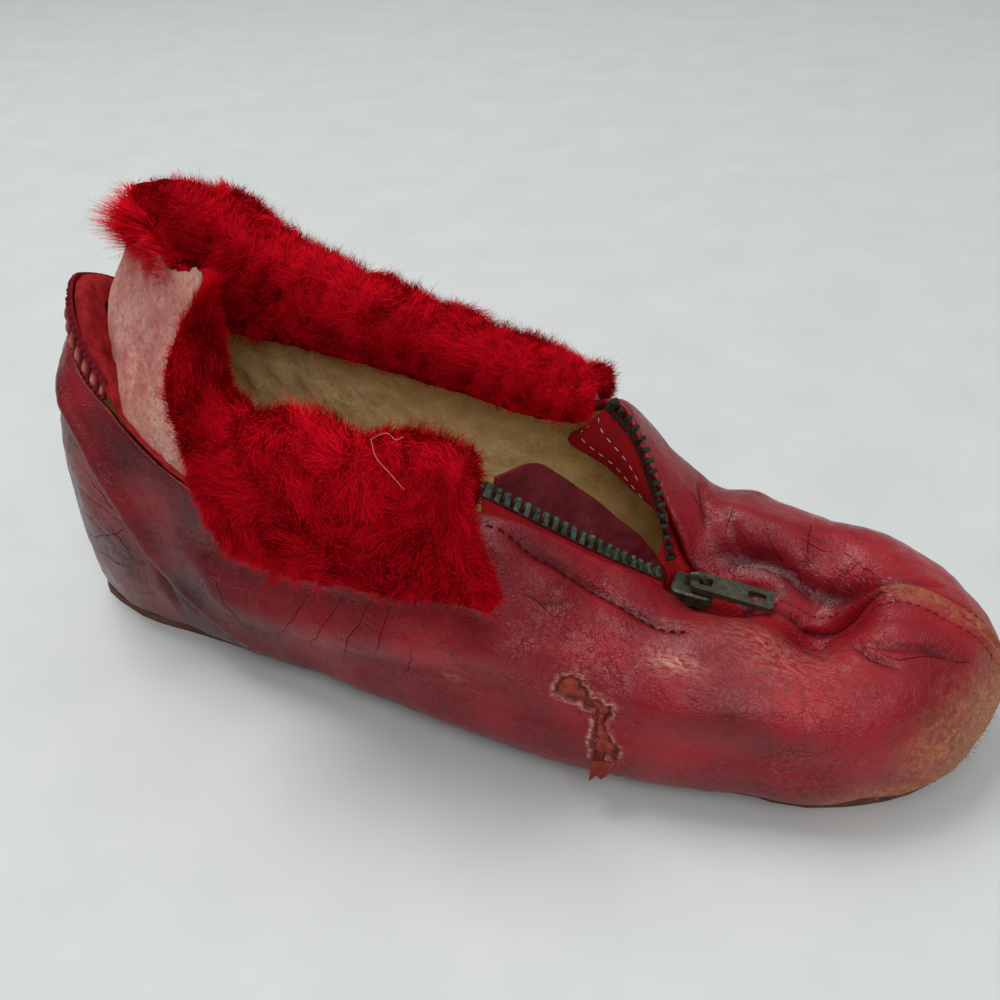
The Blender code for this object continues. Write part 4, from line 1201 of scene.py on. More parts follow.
def ribbons(name, path, width, material, chance, stand, tones=None):
    """Fibres as thin tapered strips along paths of equal point count, shaded like their pile."""
    number, steps = path.shape[:2]
    way = unit(np.gradient(path, axis=1))
    around = unit(np.cross(stand, way[:, steps // 2]) + chance.normal(0, 0.5, (number, 3)))
    face = np.cross(way[:, steps // 2], around)
    around = around * np.sign((face * stand).sum(-1) + 1e-9)[:, None]
    taper = np.linspace(1.0, 0.25, steps)
    half = around[:, None] * (0.5 * np.broadcast_to(width, (number,))[:, None] * taper[None, :])[..., None]
    points = np.stack([path + half, path - half], axis=2)
    k, s = np.meshgrid(np.arange(number), np.arange(steps - 1), indexing="ij")
    a = (k * steps + s) * 2
    quads = np.stack([a, a + 1, a + 3, a + 2], -1).reshape(-1, 4)
    made = array_mesh(name, points.reshape(-1, 3), quads, material)
    plush = unit(stand + 0.15 * unit(np.abs((face * stand).sum(-1))[:, None] * face))
    made.data.normals_split_custom_set_from_vertices(np.repeat(plush, 2 * steps, axis=0))
    # Each fibre's colour, with the painted shade it carries
    if tones is not None:
        paint(made, "tone_and_shade", np.repeat(tones.reshape(-1, 3), 2, axis=0))
    return made


# Wool from painted shade deep in the pile to the wool's own red at the tips
WOOL_PAINTED_SHADE = np.array((0.12, 0.0, 0.001))
WOOL_BRIGHT = np.array((0.92, 0.004, 0.018))
WOOL_PIECES = (("wool_near_flap", 0.0, 0.30), ("wool_heel", 0.30, 0.64), ("wool_far_roll", 0.64, 1.0))
WOOL_COATS = (("under", 22500, 0.30, (0.19, 0.29)), ("over", 18000, 0.42, (0.09, 0.15)))
MAT_SHARE = 0.74


def wool_parting(grid):
    """Narrow partings between the locks of the wool: 1 in a parting, 0 on a lock."""
    broad = np.exp(-(waves(grid, 41, 14, 14, 26) / 0.26) ** 2)
    small = np.exp(-(waves(grid, 42, 14, 7, 13) / 0.22) ** 2)
    return np.clip(0.75 * broad + 0.5 * small, 0, 1)


def wool_height(grid, pile):
    """Height of the matted wool over the skin."""
    soft = 1 + 0.10 * waves(grid, 40, 30, 10, 22) - 0.30 * wool_parting(grid)
    return 0.1 + MAT_SHARE * pile * soft + 0.22 * (1 + waves(grid, 43, 50, 2.2, 4.5))


def wool_base(material):
    """Matted body of the wool under the fibres."""
    grid, wool, pile = cuff_grid(230, 38)
    under = grid + wool * (SKIN_THICK / 2 + 0.1)
    mat = under + wool * wool_height(grid, pile)[..., None]
    made = sheet_body("wool_base", under[:, 2:], mat[:, 2:], material)
    # Matted wool at half brightness under the fibres, darker still in the partings: painted shade
    tone_and_shade = 0.50 + 0.10 * waves(grid, 44, 40, 2, 7) - 0.26 * wool_parting(grid)
    tone_and_shade = np.clip(tone_and_shade, 0.02, 1)[:, 2:, None]
    shade = WOOL_PAINTED_SHADE * (1 - tone_and_shade) + WOOL_BRIGHT * tone_and_shade
    paint(made, "tone_and_shade", np.concatenate([shade.reshape(-1, 3), shade.reshape(-1, 3)]))
    belongs(made, "cuff_fur")


def wool_fibres(cuff, begin, end, number, share, chance):
    """Paths, brightness and standing ways of fibres on one stretch of the matted wool; the brightness
    carries painted shade towards the roots and in the partings.
    """
    grid, wool, pile, mat = cuff
    area = (np.linalg.norm(np.gradient(mat, axis=0), axis=-1)
            * np.linalg.norm(np.gradient(mat, axis=1), axis=-1))
    part = area[begin:end, 3:-1]
    pick = chance.choice(part.size, number, p=(part / part.sum()).ravel())
    i = begin + pick // part.shape[1] + chance.uniform(0, 1, number)
    j = 3 + pick % part.shape[1] + chance.uniform(0, 1, number)
    last_i = grid.shape[0] - 1
    last_j = grid.shape[1] - 1
    i = np.clip(i, 0.01, last_i - 0.01)
    j = np.clip(j, 0.01, last_j - 0.01)
    stand = unit(sample_grid(wool, i, j))
    root = sample_grid(mat, i, j) - stand * 0.5
    ahead = unit(sample_grid(np.gradient(grid, axis=0), i, j))
    down = unit(sample_grid(np.gradient(grid, axis=1), i, j))
    overhang = smooth(0.97, 1.0, i / last_i) - smooth(0.03, 0.0, i / last_i)
    hang = smooth(0.88, 1.0, j / last_j)
    flow_ahead = 0.55 * waves(root, 45, 30, 8, 20) + 0.3 * waves(root, 46, 30, 3, 7) + 0.7 * overhang
    flow_down = 0.5 * waves(root, 47, 30, 8, 20) + 0.3 * waves(root, 48, 30, 3, 7) + 0.2 + 0.3 * hang
    lean = flow_ahead[:, None] * ahead + flow_down[:, None] * down + chance.normal(0, 0.28, (number, 3))
    long = (sample_grid(pile, i, j) * share + 0.6) * chance.uniform(0.7, 1.15, number)
    curl = unit(np.cross(stand, chance.normal(size=(number, 3))))
    steps = HAIR_STEPS
    rise = stand[:, None] * (long[:, None] * (steps - 0.25 * steps ** 2))[..., None]
    drift = lean[:, None] * (0.8 * long[:, None] * steps ** 1.4)[..., None]
    bow = curl[:, None] * (0.22 * long[:, None] * np.sin(np.pi * steps))[..., None]
    path = root[:, None] + rise + drift + bow
    # Random spread of brightness, with painted shade in the partings between the locks
    lit = chance.uniform(0.86, 1.10, number) * (1 - 0.50 * wool_parting(root))
    # Painted shade towards the root of each fibre
    return path, (0.42 + 0.58 * steps[None, :]) * lit[:, None], stand


def wool_piece(name, path, width, bright, stand, material, chance):
    """One mesh of wool fibres from their paths and brightness."""
    tones = WOOL_PAINTED_SHADE + (WOOL_BRIGHT - WOOL_PAINTED_SHADE) * np.clip(bright, 0, 1.15)[..., None]
    widths = chance.uniform(*width, len(path))
    made = ribbons(name, path, widths, material, chance, stand, np.clip(tones, 0, 1))
    belongs(made)


WOOL_END_HAIRS = 3600
WOOL_FRINGE_HAIRS = 10000
FRINGE_SHARE = (0.40, 0.66)


def build_wool_ends(cuff, material):
    """Wool that closes the cut ends of the strip."""
    grid, _, _, mat = cuff
    steps = HAIR_STEPS
    for name, end, inner in (("wool_front_edge", 0, 3), ("wool_roll_end", -1, -4)):
        chance = np.random.default_rng(84 + end)
        j = chance.uniform(3, grid.shape[1] - 1.02, WOOL_END_HAIRS)
        low = sample_grid(grid[:2] if end == 0 else grid[-2:], np.full(WOOL_END_HAIRS, -end * 1.0), j)
        high = sample_grid(mat[:2] if end == 0 else mat[-2:], np.full(WOOL_END_HAIRS, -end * 1.0), j)
        root = low + (high - low) * chance.uniform(0, 1, (WOOL_END_HAIRS, 1))
        root = root + (grid[end].mean(0) - root) * (chance.uniform(0, 0.5, (WOOL_END_HAIRS, 1)) ** 2)
        ahead = unit((grid[end] - grid[inner]).mean(0))
        way = unit(ahead + 0.35 * unit(high - low) + chance.normal(0, 0.4, (WOOL_END_HAIRS, 3)))
        long = chance.uniform(0.8, 2.2, WOOL_END_HAIRS)
        droop = np.array([0, 0, -0.25]) + chance.normal(0, 0.25, (WOOL_END_HAIRS, 3))
        path = (root[:, None] + way[:, None] * (long[:, None] * steps)[..., None]
                + droop[:, None] * (long[:, None] * steps ** 2)[..., None])
        # Painted shade towards the root of each hair
        bright = (0.4 + 0.55 * steps[None, :]) * chance.uniform(0.7, 1.1, WOOL_END_HAIRS)[:, None]
        stand = unit(ahead + 0.6 * unit(high - low))
        wool_piece(name, path, (0.14, 0.26), bright, stand, material, chance)


def build_wool_fringe(cuff, material):
    """Wool that falls over the top edge of the strip at the heel."""
    grid, wool, pile, _ = cuff
    chance = np.random.default_rng(88)
    number = WOOL_FRINGE_HAIRS
    last = np.array(grid.shape[:2]) - 1
    i = last[0] * (FRINGE_SHARE[0] + (FRINGE_SHARE[1] - FRINGE_SHARE[0]) * chance.beta(1.6, 1.6, number))
    j = last[1] * (1 - 0.12 * chance.uniform(0, 1, number) ** 1.5) - 0.02
    stand = unit(sample_grid(wool, i, j))
    deep = chance.uniform(0.05, 0.85, number) * sample_grid(pile, i, j)
    root = sample_grid(grid, i, j) + stand * (deep + 0.4)[:, None]
    flow = 0.5 * waves(root, 49, 30, 6, 14)[:, None] * unit(sample_grid(np.gradient(grid, axis=0), i, j))
    up = np.array([0, 0, 1.0])
    way = unit(0.95 * up - 0.25 * stand + flow + chance.normal(0, 0.32, (number, 3)))
    long = chance.uniform(3.0, 7.5, number) * (0.75 + 0.25 * waves(root, 51, 30, 6, 14))
    steps = HAIR_STEPS
    fall = -0.75 * stand - 0.35 * up
    path = (root[:, None] + way[:, None] * (long[:, None] * steps)[..., None]
            + fall[:, None] * (0.8 * long[:, None] * steps ** 2)[..., None])
    # Painted shade towards the root of each hair
    bright = (0.45 + 0.6 * steps[None, :]) * chance.uniform(0.75, 1.1, number)[:, None]
    wool_piece("wool_fringe", path, (0.12, 0.22), bright, unit(way + 0.5 * up), material, chance)


def build_wool(material, base_material):
    """Matted base, a dense undercoat and longer fine hairs over it."""
    wool_base(base_material)
    grid, wool, pile = cuff_grid(420, 64)
    mat = grid + wool * (SKIN_THICK / 2 + 0.1 + wool_height(grid, pile))[..., None]
    cuff = (grid, wool, pile, mat)
    last = grid.shape[0] - 1
    for seed, (name, first, final) in enumerate(WOOL_PIECES):
        for coat, (kind, number, share, width) in enumerate(WOOL_COATS):
            chance = np.random.default_rng(50 + 10 * seed + coat)
            stretch = (int(first * last), int(final * last))
            path, bright, stand = wool_fibres(cuff, *stretch, number, share, chance)
            wool_piece(name + "_" + kind, path, width, bright, stand, material, chance)
    build_wool_ends(cuff, material)
    build_wool_fringe(cuff, material)


LOOSE_HAIRS = (
    ((119, -36.6, 86.5), (122, -40, 84.5), (125.4, -41.3, 82.5), (129.7, -43.2, 80.5)),
    ((119, -36.6, 86.5), (122.5, -35.5, 88), (125, -36.5, 87.5), (126.5, -36, 88.2)),
)
TOE_FRAYS = 420


def build_loose_hairs():
    """Two stray pale hairs on the flap and worn fuzz round the toe."""
    lines = [flowing(line, np.linspace(0, 1, 12)) for line in LOOSE_HAIRS]
    pale = thread_material("pale_hair", (0.62, 0.42, 0.20), (0.80, 0.60, 0.34))
    hairs = tubes("stray_hairs", lines, 0.04, pale, 5)
    chance = np.random.default_rng(95)
    station = 16 - chance.uniform(0, 1, TOE_FRAYS) ** 1.5 * 1.9
    row = chance.uniform(0.0, 1.0, TOE_FRAYS) ** 1.6 * 1.1
    steps = np.linspace(0, 1, 4)
    fuzz = []
    for k in range(TOE_FRAYS):
        side = -1 if k % 3 else 1
        root = upper_point(station[k:k + 1], row[k:k + 1] + 0.02, side)[0]
        out = upper_normal(station[k:k + 1] - 0.03, row[k:k + 1] + 0.05, side)[0]
        way = unit(out + chance.normal(0, 0.7, 3))
        curl = chance.normal(0, 0.35, 3)
        long = chance.uniform(0.4, 1.5)
        fuzz.append(root - out * 0.1 + long * (steps[:, None] * way + steps[:, None] ** 2 * curl))
    worn = thread_material("worn_fuzz", (0.22, 0.07, 0.03), (0.50, 0.26, 0.12))
    frays = tubes("toe_frays", fuzz, 0.06, worn, 4, (1.0, 0.9, 0.7, 0.3))
    for made, group in ((hairs, "wool"), (frays, "leather")):
        belongs(made)


SKIN_GRID = (230, 30)


def build_skin(material):
    """Suede skin of the cuff strip with an uneven cut edge."""
    grid, wool, _ = cuff_grid(SKIN_GRID[0], SKIN_GRID[1])
    t = np.linspace(0, 1, SKIN_GRID[1])
    rib = np.linspace(0, 1, SKIN_GRID[0])
    ragged = 0.5 * waves(rib[:, None] * 300, 61, 30, 3, 15)
    knots = [row[0] for row in CUFF]
    at = np.interp(rib, np.linspace(0, 1, len(knots)), knots)
    strip_out = eased(knots, [row[1][0] for row in CUFF], at)
    reach = np.clip(-2.4 - strip_out, 0, None) * smooth(-2.3, -3.1, at)
    flare = 1 - smooth(0.10, 0.5, t)
    grid = grid + collar_frame(at)[1][:, None] * (reach[:, None] * flare[None, :])[..., None]
    down = unit(np.gradient(grid, axis=1))
    grid = grid + down * (ragged[:, None] * t[None, :] ** 6)[..., None]
    rough = 0.10 * waves(grid, 62, 40, 1.8, 5)
    under = grid - wool * (SKIN_THICK / 2 - 0.1 + rough)[..., None]
    over = grid + wool * (SKIN_THICK / 2 - 0.1)
    made = sheet_body("suede_skin", under[3:-4], over[3:-4], material)
    edge = smooth(0.985, 1.0, t)[None, :] * np.ones((SKIN_GRID[0], 1))
    stain = np.clip(0.4 + 0.5 * waves(grid, 63, 30, 14, 40), 0, 1)
    stain = np.maximum(stain, smooth(0.1, 0.0, np.abs(t - 0.0))[None, :] * 0.8)
    layer = np.stack([stain, edge, np.zeros_like(edge)], -1)[3:-4].reshape(-1, 3)
    paint(made, "stain", np.concatenate([layer, layer]))
    belongs(made, "cuff_skin")


PEARL_PITCH = 3.9
BINDING_RIBS = (-2.7, 1.2)
BINDING_RISE = 11.0


def binding_frame(count):
    """Collar edge, outward way, height and length along the bound part of the collar."""
    edges, outs = collar_frame(np.linspace(*BINDING_RIBS, count))
    rise = BINDING_RISE * np.clip(np.sin(np.pi * np.linspace(0.08, 0.92, count)), 0, 1) ** 0.6
    along = run_of(edges)
    return edges, outs, rise, along


def build_binding(material):
    """Overcast edge at the heel: a row of fat stitches between two twisted cords."""
    count = 360
    level = np.linspace(0, 1, 24)
    edges, outs, rise, along = binding_frame(count)
    pearl = np.clip(np.cos(2 * np.pi * along[:, None] / PEARL_PITCH + 0.6 * level[None, :]) + 0.55, 0, None)
    pearl = np.sqrt(pearl / 1.55) * np.exp(-((level[None, :] - 0.55) / 0.27) ** 2)
    twist = np.abs(np.sin(np.pi * (along[:, None] / 1.7 + 3.0 * level[None, :])))
    cords = twist * (np.exp(-((level - 0.16) / 0.09) ** 2) + np.exp(-((level - 0.92) / 0.08) ** 2))[None, :]
    up = np.array([0, 0, 1.0])
    lean = -1.6 - 2.0 * level
    tall = GAP + 0.1 + rise[:, None] * level[None, :]
    swell = 0.5 * np.sin(np.pi * np.minimum(1.0, 0.35 + 0.6 * level))
    push = (lean + 0.8 + swell)[None, :] + 1.5 * pearl + 0.9 * cords
    inner = edges[:, None] + outs[:, None] * (lean + 0.2)[None, :, None] + up * tall[..., None]
    outer = edges[:, None] + outs[:, None] * push[..., None] + up * tall[..., None]
    made = sheet_body("whipped_binding", inner, outer, material)
    dark = np.array((0.12, 0.006, 0.010))
    light = np.array((0.74, 0.20, 0.17))
    cord = np.array((0.26, 0.020, 0.028))
    # Painted shade in the gaps between the stitches, rising to the thread's own pink on their tops; the
    # cords keep their own darker red
    tone_and_shade = dark + (light - dark) * np.clip(pearl, 0, 1)[..., None] ** 2
    tone_and_shade = tone_and_shade + (cord - dark) * np.clip(cords, 0, 1)[..., None]
    back = np.broadcast_to(np.array((0.30, 0.022, 0.030)), tone_and_shade.shape)
    paint(made, "tone_and_shade", np.concatenate([back.reshape(-1, 3), tone_and_shade.reshape(-1, 3)]))
    belongs(made, "collar_binding")


FACING = (
    (-4.4, 0.1, 0.0), (-3.8, 0.2, 0.1), (-3.3, 0.4, 0.2), (-3.0, 1.4, 0.8), (-2.6, 4.6, 1.2),
    (-1.8, 8.6, 2.4), (-0.7, 10.2, 3.4), (0.4, 9.0, 3.0), (1.2, 4.6, 1.6), (1.8, 1.2, 0.8), (2.6, 0.2, 0.4),
)


def build_facing(material):
    """Red suede facing from the collar's edge to the cuff strip; the table has rib, rise and foot."""
    table = np.array(FACING)
    rib = np.linspace(table[0, 0], table[-1, 0], 120)
    edges, outs = collar_frame(rib)
    rise = eased(table[:, 0], table[:, 1], rib)
    low = eased(table[:, 0], table[:, 2], rib)
    strip_out = eased([row[0] for row in CUFF], [row[1][0] for row in CUFF], rib)
    up = np.array([0, 0, 1.0])
    rim_out = np.maximum(-1.95 - 0.18 * rise, strip_out + 1.0)
    rim_out = rim_out + 1.1 * smooth(-2.3, -2.7, rib)
    rim = edges + outs * rim_out[:, None] + up * rise[:, None]
    crown = edges + outs * (0.5 * (rim_out + strip_out))[:, None] + up * (0.92 * rise + 0.3)[:, None]
    foot = edges + outs * (strip_out - 1.0)[:, None] + up * low[:, None]
    grid = refined(np.stack([rim, crown, foot], axis=1), 20)
    normal = grid_normals(grid)
    grid = grid + normal * (0.2 * waves(grid, 91, 40, 3, 9))[..., None]
    made = sheet_body("heel_facing", grid - normal * 0.3, grid + normal * 0.3, material)
    belongs(made)


# Zip

def row_frames(row, pitch, begin=0.0):
    """Places along a tooth row with their forward direction."""
    dense = flowing(row, np.linspace(0, 1, 500))
    size = run_of(dense)
    marks = np.arange(begin, size[-1], pitch)
    spots = np.stack([np.interp(marks, size, dense[:, k]) for k in range(3)], -1)
    ahead = np.stack([np.interp(marks + 0.5, size, dense[:, k]) - np.interp(marks - 0.5, size, dense[:, k])
                      for k in range(3)], -1)
    return spots, unit(ahead), marks / size[-1]


TAPE_POINTS = 90
TAPE_START = 0.6
NEAR_TAPE_STATIONS = (7.05, 9.75)
NEAR_TAPE_ROW = 1.86
TAPE_SELVEDGE = 1.18


def tape_grid(row, side, first, last, deep):
    """Woven tape from the teeth to the inside of the upper, and its way from the teeth."""
    count = TAPE_POINTS
    line = flowing(row, np.linspace(0, 1, count))
    station = np.linspace(first, last, count)
    edge = upper_point(station, 2.0, side)
    inside = edge - upper_normal(station, np.full(count, 1.99), side) * (WALL + 1.6)
    deep_row = np.full(count, deep)
    low = upper_point(station, deep_row, side) - upper_normal(station, deep_row, side) * (WALL + 1.8)
    way = unit(inside - line)
    start = line + way * TAPE_START
    return np.stack([start, (start + inside) / 2, inside, low], axis=1), way


def hanging_grid(row, free_edge):
    """Woven tape that hangs from the teeth to its free edge, and its way from the teeth."""
    t = np.linspace(0, 1, TAPE_POINTS)
    line = flowing(row, t)
    free = line + (flowing(free_edge, t) - line) * TAPE_SELVEDGE
    way = unit(free - line)
    start = line + way * TAPE_START
    return np.stack([start, (start + free) / 2, free], axis=1), way


def refined(grid, across):
    """Grid with more points across."""
    t = np.linspace(0, 1, across)
    return np.stack([flowing(row, t) for row in grid], 0)


def build_tape(name, coarse, material, node_name=None):
    """Woven tape on a coarse grid; gives its fine grid and normals."""
    grid = refined(coarse, 30)
    normal = grid_normals(grid)
    half = TAPE_THICK / 2
    made = sheet_body(name, grid - normal * half, grid + normal * half, material)
    along = run_of(grid[:, 0])
    across = np.concatenate([np.zeros((len(grid), 1)),
                             np.cumsum(np.linalg.norm(np.diff(grid, axis=1), axis=-1), axis=1)], 1)
    place = np.stack([np.broadcast_to(along[:, None], across.shape), across, np.zeros_like(across)], -1)
    layer = made.data.attributes.new("weave", "FLOAT_VECTOR", "POINT")
    both = np.concatenate([place.reshape(-1, 3), place.reshape(-1, 3)]).astype(np.float32)
    layer.data.foreach_set("vector", both.ravel())
    belongs(made, node_name)
    return grid, normal


# Closed end of the tape: its stations and row on the upper, its level under the slider, and how much
# higher it lies beside and behind the slider
TAPE_END_STATIONS = (9.4, 11.95)
TAPE_END_ROW = 1.90
TAPE_END_LEVEL = 26.6
TAPE_SIDE_RISE = 11.0
TAPE_BACK_RISE = 8.2


def tape_end_grid():
    """Closed end of the zip tape under the slider, between the edges of the leather."""
    station = np.linspace(*TAPE_END_STATIONS, 40)
    row = np.full(len(station), TAPE_END_ROW)
    near, far = (upper_point(station, row, side) - upper_normal(station, row, side) * (WALL + 1.4)
                 for side in (-1, 1))
    floor = np.minimum((near + far)[:, 2] / 2, TAPE_END_LEVEL)
    beside = np.minimum(near[:, 2], far[:, 2])
    beside = np.minimum(beside, floor + TAPE_SIDE_RISE * smooth(10.4, 9.5, station))
    floor = floor + TAPE_BACK_RISE * smooth(9.8, 9.5, station)
    rows = []
    for share, level in ((0.0, None), (0.24, beside), (0.5, floor), (0.76, beside), (1.0, None)):
        spot = near + (far - near) * share
        if level is not None:
            spot[:, 2] = level
        rows.append(spot)
    return np.stack(rows, axis=1)


def tooth_form():
    """One zip tooth: a rounded block with a raised nib, drawn along X inwards."""
    work = bmesh.new()
    bmesh.ops.create_cube(work, size=1.0)
    for vert in work.verts:
        narrow = 0.8 if vert.co.x > 0 else 1.0
        vert.co = Vector((vert.co.x * 3.4 + 0.7, vert.co.y * 1.45 * narrow, vert.co.z * 2.1 * narrow))
    bmesh.ops.bevel(work, geom=list(work.edges), offset=0.28, segments=2, profile=0.6, affect="EDGES")
    first = len(work.verts)
    bmesh.ops.create_uvsphere(work, u_segments=8, v_segments=6, radius=0.5)
    work.verts.ensure_lookup_table()
    for vert in work.verts[first:]:
        vert.co = Vector((vert.co.x * 1.1 + 1.6, vert.co.y * 0.9, vert.co.z * 0.8 + 0.8))
    bmesh.ops.triangulate(work, faces=work.faces)
    work.verts.index_update()
    points = np.array([vert.co for vert in work.verts])
    faces = np.array([[vert.index for vert in face.verts] for face in work.faces])
    work.free()
    # The bevel's order of points varies from run to run, so points and triangles are sorted
    order = np.lexsort(np.round(points, 4).T)
    faces = np.argsort(order)[faces]
    turned = (faces.argmin(axis=1)[:, None] + np.arange(3)) % 3
    faces = np.take_along_axis(faces, turned, axis=1)
    return points[order], faces[np.lexsort(faces.T)]


def build_teeth(name, node_name, row, way, material):
    """A row of separate teeth with a stop at the top."""
    points, faces = tooth_form()
    spots, ahead, share = row_frames(row, TOOTH_PITCH, 0.8)
    all_points = []
    all_faces = []
    chance = np.random.default_rng(71)
    mesh_count = len(way)
    for k, (spot, forward) in enumerate(zip(spots, ahead)):
        out = np.array([np.interp(share[k], np.linspace(0, 1, mesh_count), way[:, m]) for m in range(3)])
        inward = unit(-(out - forward * out.dot(forward)))
        up = np.cross(forward, inward)
        size = np.array([1.0, 1.5 if k == 0 else 1.0, 1.2 if k == 0 else 1.0])
        tilt = chance.normal(0, 0.06)
        local = points * size
        along = local[:, 1] + tilt * local[:, 0]
        all_points.append(spot + local[:, :1] * inward + along[:, None] * forward + local[:, 2:] * up)
        all_faces.append(faces + k * len(points))
    made = array_mesh(name, np.concatenate(all_points), np.concatenate(all_faces), material, soft=False)
    belongs(made, node_name)


CORD_POINTS = 120
CORD_OUT = 0.9
CORD_ROUND = 0.62


def spread(way, count):
    """Directions along a row, spread over another number of points."""
    known = np.linspace(0, 1, len(way))
    wanted = np.linspace(0, 1, count)
    return np.stack([np.interp(wanted, known, way[:, m]) for m in range(3)], -1)


def build_bead(name, row, way, material):
    """Corded edge of the tape under the teeth."""
    line = flowing(row, np.linspace(0, 1, CORD_POINTS))
    made = tubes(name, (line + spread(way, CORD_POINTS) * CORD_OUT)[None], CORD_ROUND, material, 8)
    belongs(made)


def build_guard(near_way, material):
    """Leather flap behind the lateral tooth row, softly creased."""
    count = 64
    t = np.linspace(0, 1, count)
    row = flowing(NEAR_ROW, t)
    free = flowing(GUARD_EDGE, t)
    low = row + spread(near_way, count) * 3.0 + np.array([0, 0.6, -4.4])
    middle = (low + free) / 2 - np.array([0, 0, 1.6])
    grid = refined(np.stack([low, middle, free], axis=1), 28)
    normal = grid_normals(grid)
    soft = 0.22 * waves(grid, 81, 40, 5, 14) + 0.08 * waves(grid, 82, 40, 2, 4)
    grid = grid + normal * soft[..., None]
    made = sheet_body("guard_flap", grid - normal * 0.55, grid + normal * 0.55, material)
    belongs(made, "zip_guard")


def build_tape_stitches(grid, normal, material):
    """Two rows of white stitches on the medial tape."""
    lines = []
    for share, reach in ((0.38, 0.55), (0.76, 0.72)):
        j = share * (grid.shape[1] - 1)
        i = np.linspace(2, reach * grid.shape[0], 200)
        facing = sample_grid(normal, i, np.full(200, j))
        sign = -1.0 if facing[:, 1].mean() > 0 else 1.0
        spot = sample_grid(grid, i, np.full(200, j)) + facing * sign * (TAPE_THICK / 2 + 0.05)
        lines += stitch_lines(spot, *TAPE_STITCH)
    made = tubes("tape_stitches", lines, 0.14, material, 6, STITCH_ROUND)
    belongs(made)


METAL_BEVEL = 0.25
SOLE_BEVEL = 0.4


def dress_node(name, material, bevel):
    """Give a node that keeps its own shape its finish and softened edges."""
    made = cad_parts[name]
    made.data.materials.clear()
    made.data.materials.append(material)
    soft = made.modifiers.new("soft edges", "BEVEL")
    soft.width = bevel * MM
    soft.segments = 2
    soft.limit_method = "ANGLE"
    soft.angle_limit = math.radians(35)


# Stage

FLOOR_HALF = 3.0
LIGHT_AIM = (0.0, 0.0, 0.03)

# Area lights: name, place, size, power and colour
LIGHTS = (
    ("window", (-0.65, 0.20, 1.50), 0.8, 12.8, (1.0, 1.0, 0.98)),
    ("fill", (0.80, -0.95, 1.20), 0.9, 8.6, (1.0, 1.0, 1.0)),
)


def build_floor():
    mesh = bpy.data.meshes.new("floor")
    work = bmesh.new()
    bmesh.ops.create_grid(work, x_segments=1, y_segments=1, size=FLOOR_HALF)
    work.to_mesh(mesh)
    work.free()
    mesh.materials.append(floor_material())
    floor = bpy.data.objects.new("floor", mesh)
    bpy.context.scene.collection.objects.link(floor)


def add_light(name, place, size, power, colour):
    lamp = bpy.data.lights.new(name, "AREA")
    lamp.shape = "SQUARE"
    lamp.size = size
    lamp.energy = power
    lamp.color = colour
    made = bpy.data.objects.new(name, lamp)
    made.location = place
    made.rotation_euler = (Vector(LIGHT_AIM) - Vector(place)).to_track_quat("-Z", "Y").to_euler()
    bpy.context.scene.collection.objects.link(made)


def build_lights():
    """Soft room light that grows with height, and the area lights."""
    world = bpy.data.worlds.new("soft_room")
    world.use_nodes = True
    tree = world.node_tree
    background = tree.nodes["Background"]
    background.inputs["Color"].default_value = (0.94, 0.98, 1.0, 1.0)
    where = node(tree, "ShaderNodeTexCoord").outputs["Generated"]
    height = node(tree, "ShaderNodeSeparateXYZ", None, {"Vector": where}).outputs["Z"]
    tree.links.new(ranged(tree, height, 0.1, 0.9, 0.07, 0.54), background.inputs["Strength"])
    bpy.context.scene.world = world
    for light in LIGHTS:
        add_light(*light)


CAMERA_FOV = 50.0
CAMERA_AZIMUTH = 27.16
CAMERA_ELEVATION = 37.65
CAMERA_ROLL = -4.13
CAMERA_DISTANCE = 0.28074
CAMERA_AIM = (0.0, 0.0, 0.03)
CAMERA_SHIFT = (0.01406, 0.05888)


def build_camera():
    """Camera as worked out from the shoe's outline."""
    data = bpy.data.cameras.new("photo_camera")
    data.angle = math.radians(CAMERA_FOV)
    data.shift_x, data.shift_y = CAMERA_SHIFT
    data.clip_start = 0.005
    azimuth = math.radians(CAMERA_AZIMUTH)
    elevation = math.radians(CAMERA_ELEVATION)
    roll = math.radians(CAMERA_ROLL)
    back = Vector((math.sin(azimuth) * math.cos(elevation), -math.cos(azimuth) * math.cos(elevation),
                   math.sin(elevation)))
    right = (-back).cross(Vector((0, 0, 1))).normalized()
    up = right.cross(-back)
    turned_right = right * math.cos(roll) + up * math.sin(roll)
    turned_up = -right * math.sin(roll) + up * math.cos(roll)
    place = Matrix((turned_right, turned_up, back)).transposed().to_4x4()
    place.translation = Vector(CAMERA_AIM) + back * CAMERA_DISTANCE
    made = bpy.data.objects.new("photo_camera", data)
    made.matrix_world = place
    bpy.context.scene.collection.objects.link(made)
    bpy.context.scene.camera = made


bpy.context.scene.view_settings.view_transform = "Standard"
build_camera()
build_floor()
build_lights()

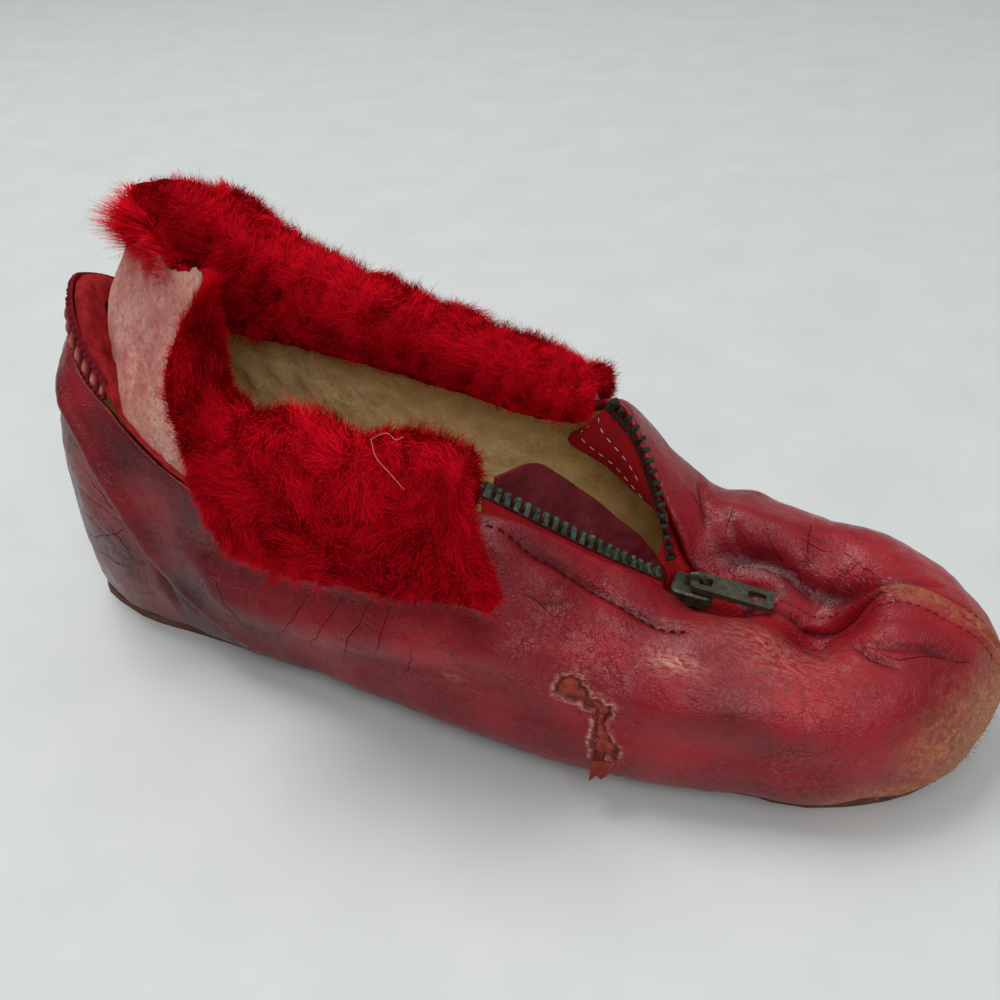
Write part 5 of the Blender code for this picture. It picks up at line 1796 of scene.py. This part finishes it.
leather = leather_material()
upper = build_upper(leather)
build_upper_stitches(upper)
build_creases(upper)
build_tear_flap(plain_leather_material("torn_leather", (0.15, 0.008, 0.009), (0.32, 0.050, 0.035)))
pile = pile_material()
build_lining(pile)
build_insole(pile)
build_wool(wool_material("red_wool", 0.0), wool_material("matted_wool", 0.9))
build_skin(suede_material())
build_loose_hairs()
build_binding(wool_material("binding_thread", 0.5))
build_facing(plain_suede_material("red_suede", (0.20, 0.006, 0.010), (0.48, 0.030, 0.034)))
tape = tape_material()
near_coarse, near_way = tape_grid(NEAR_ROW, -1, *NEAR_TAPE_STATIONS, NEAR_TAPE_ROW)
build_tape("woven_tape_near", near_coarse, tape, "zip_tape_near")
far_coarse, far_way = hanging_grid(FAR_ROW, FAR_TAPE_EDGE)
far_grid, far_normal = build_tape("woven_tape_far", far_coarse, tape, "zip_tape_far")
build_tape("closed_tape_end", tape_end_grid(), tape)
near_metal = metal_material("verdigris_teeth", (0.030, 0.036, 0.026), (0.085, 0.095, 0.07),
                            (0.095, 0.165, 0.115), 0.5)
far_metal = metal_material("dark_teeth", (0.018, 0.020, 0.014), (0.060, 0.064, 0.046),
                           (0.06, 0.09, 0.065), 0.1)
build_teeth("zip_row_near", "zip_teeth_near", NEAR_ROW, near_way, near_metal)
build_teeth("zip_row_far", "zip_teeth_far", FAR_ROW, far_way, far_metal)
bead = thread_material("tape_cord", (0.05, 0.004, 0.006), (0.14, 0.01, 0.014))
build_bead("tape_cord_near", NEAR_ROW, near_way, bead)
build_bead("tape_cord_far", FAR_ROW, far_way, bead)
build_guard(near_way, plain_leather_material("guard_leather", (0.070, 0.003, 0.005), (0.15, 0.008, 0.011)))
white_thread = thread_material("white_thread", (0.50, 0.40, 0.36), (0.72, 0.62, 0.57))
build_tape_stitches(far_grid, far_normal, white_thread)
pull_metal = metal_material("dark_brass", (0.050, 0.048, 0.032), (0.13, 0.125, 0.085),
                            (0.07, 0.11, 0.08), 0.05)
dress_node("zip_slider", pull_metal, METAL_BEVEL)
dress_node("zip_pull_tab", pull_metal, METAL_BEVEL)
dress_node("outsole", sole_material(), SOLE_BEVEL)
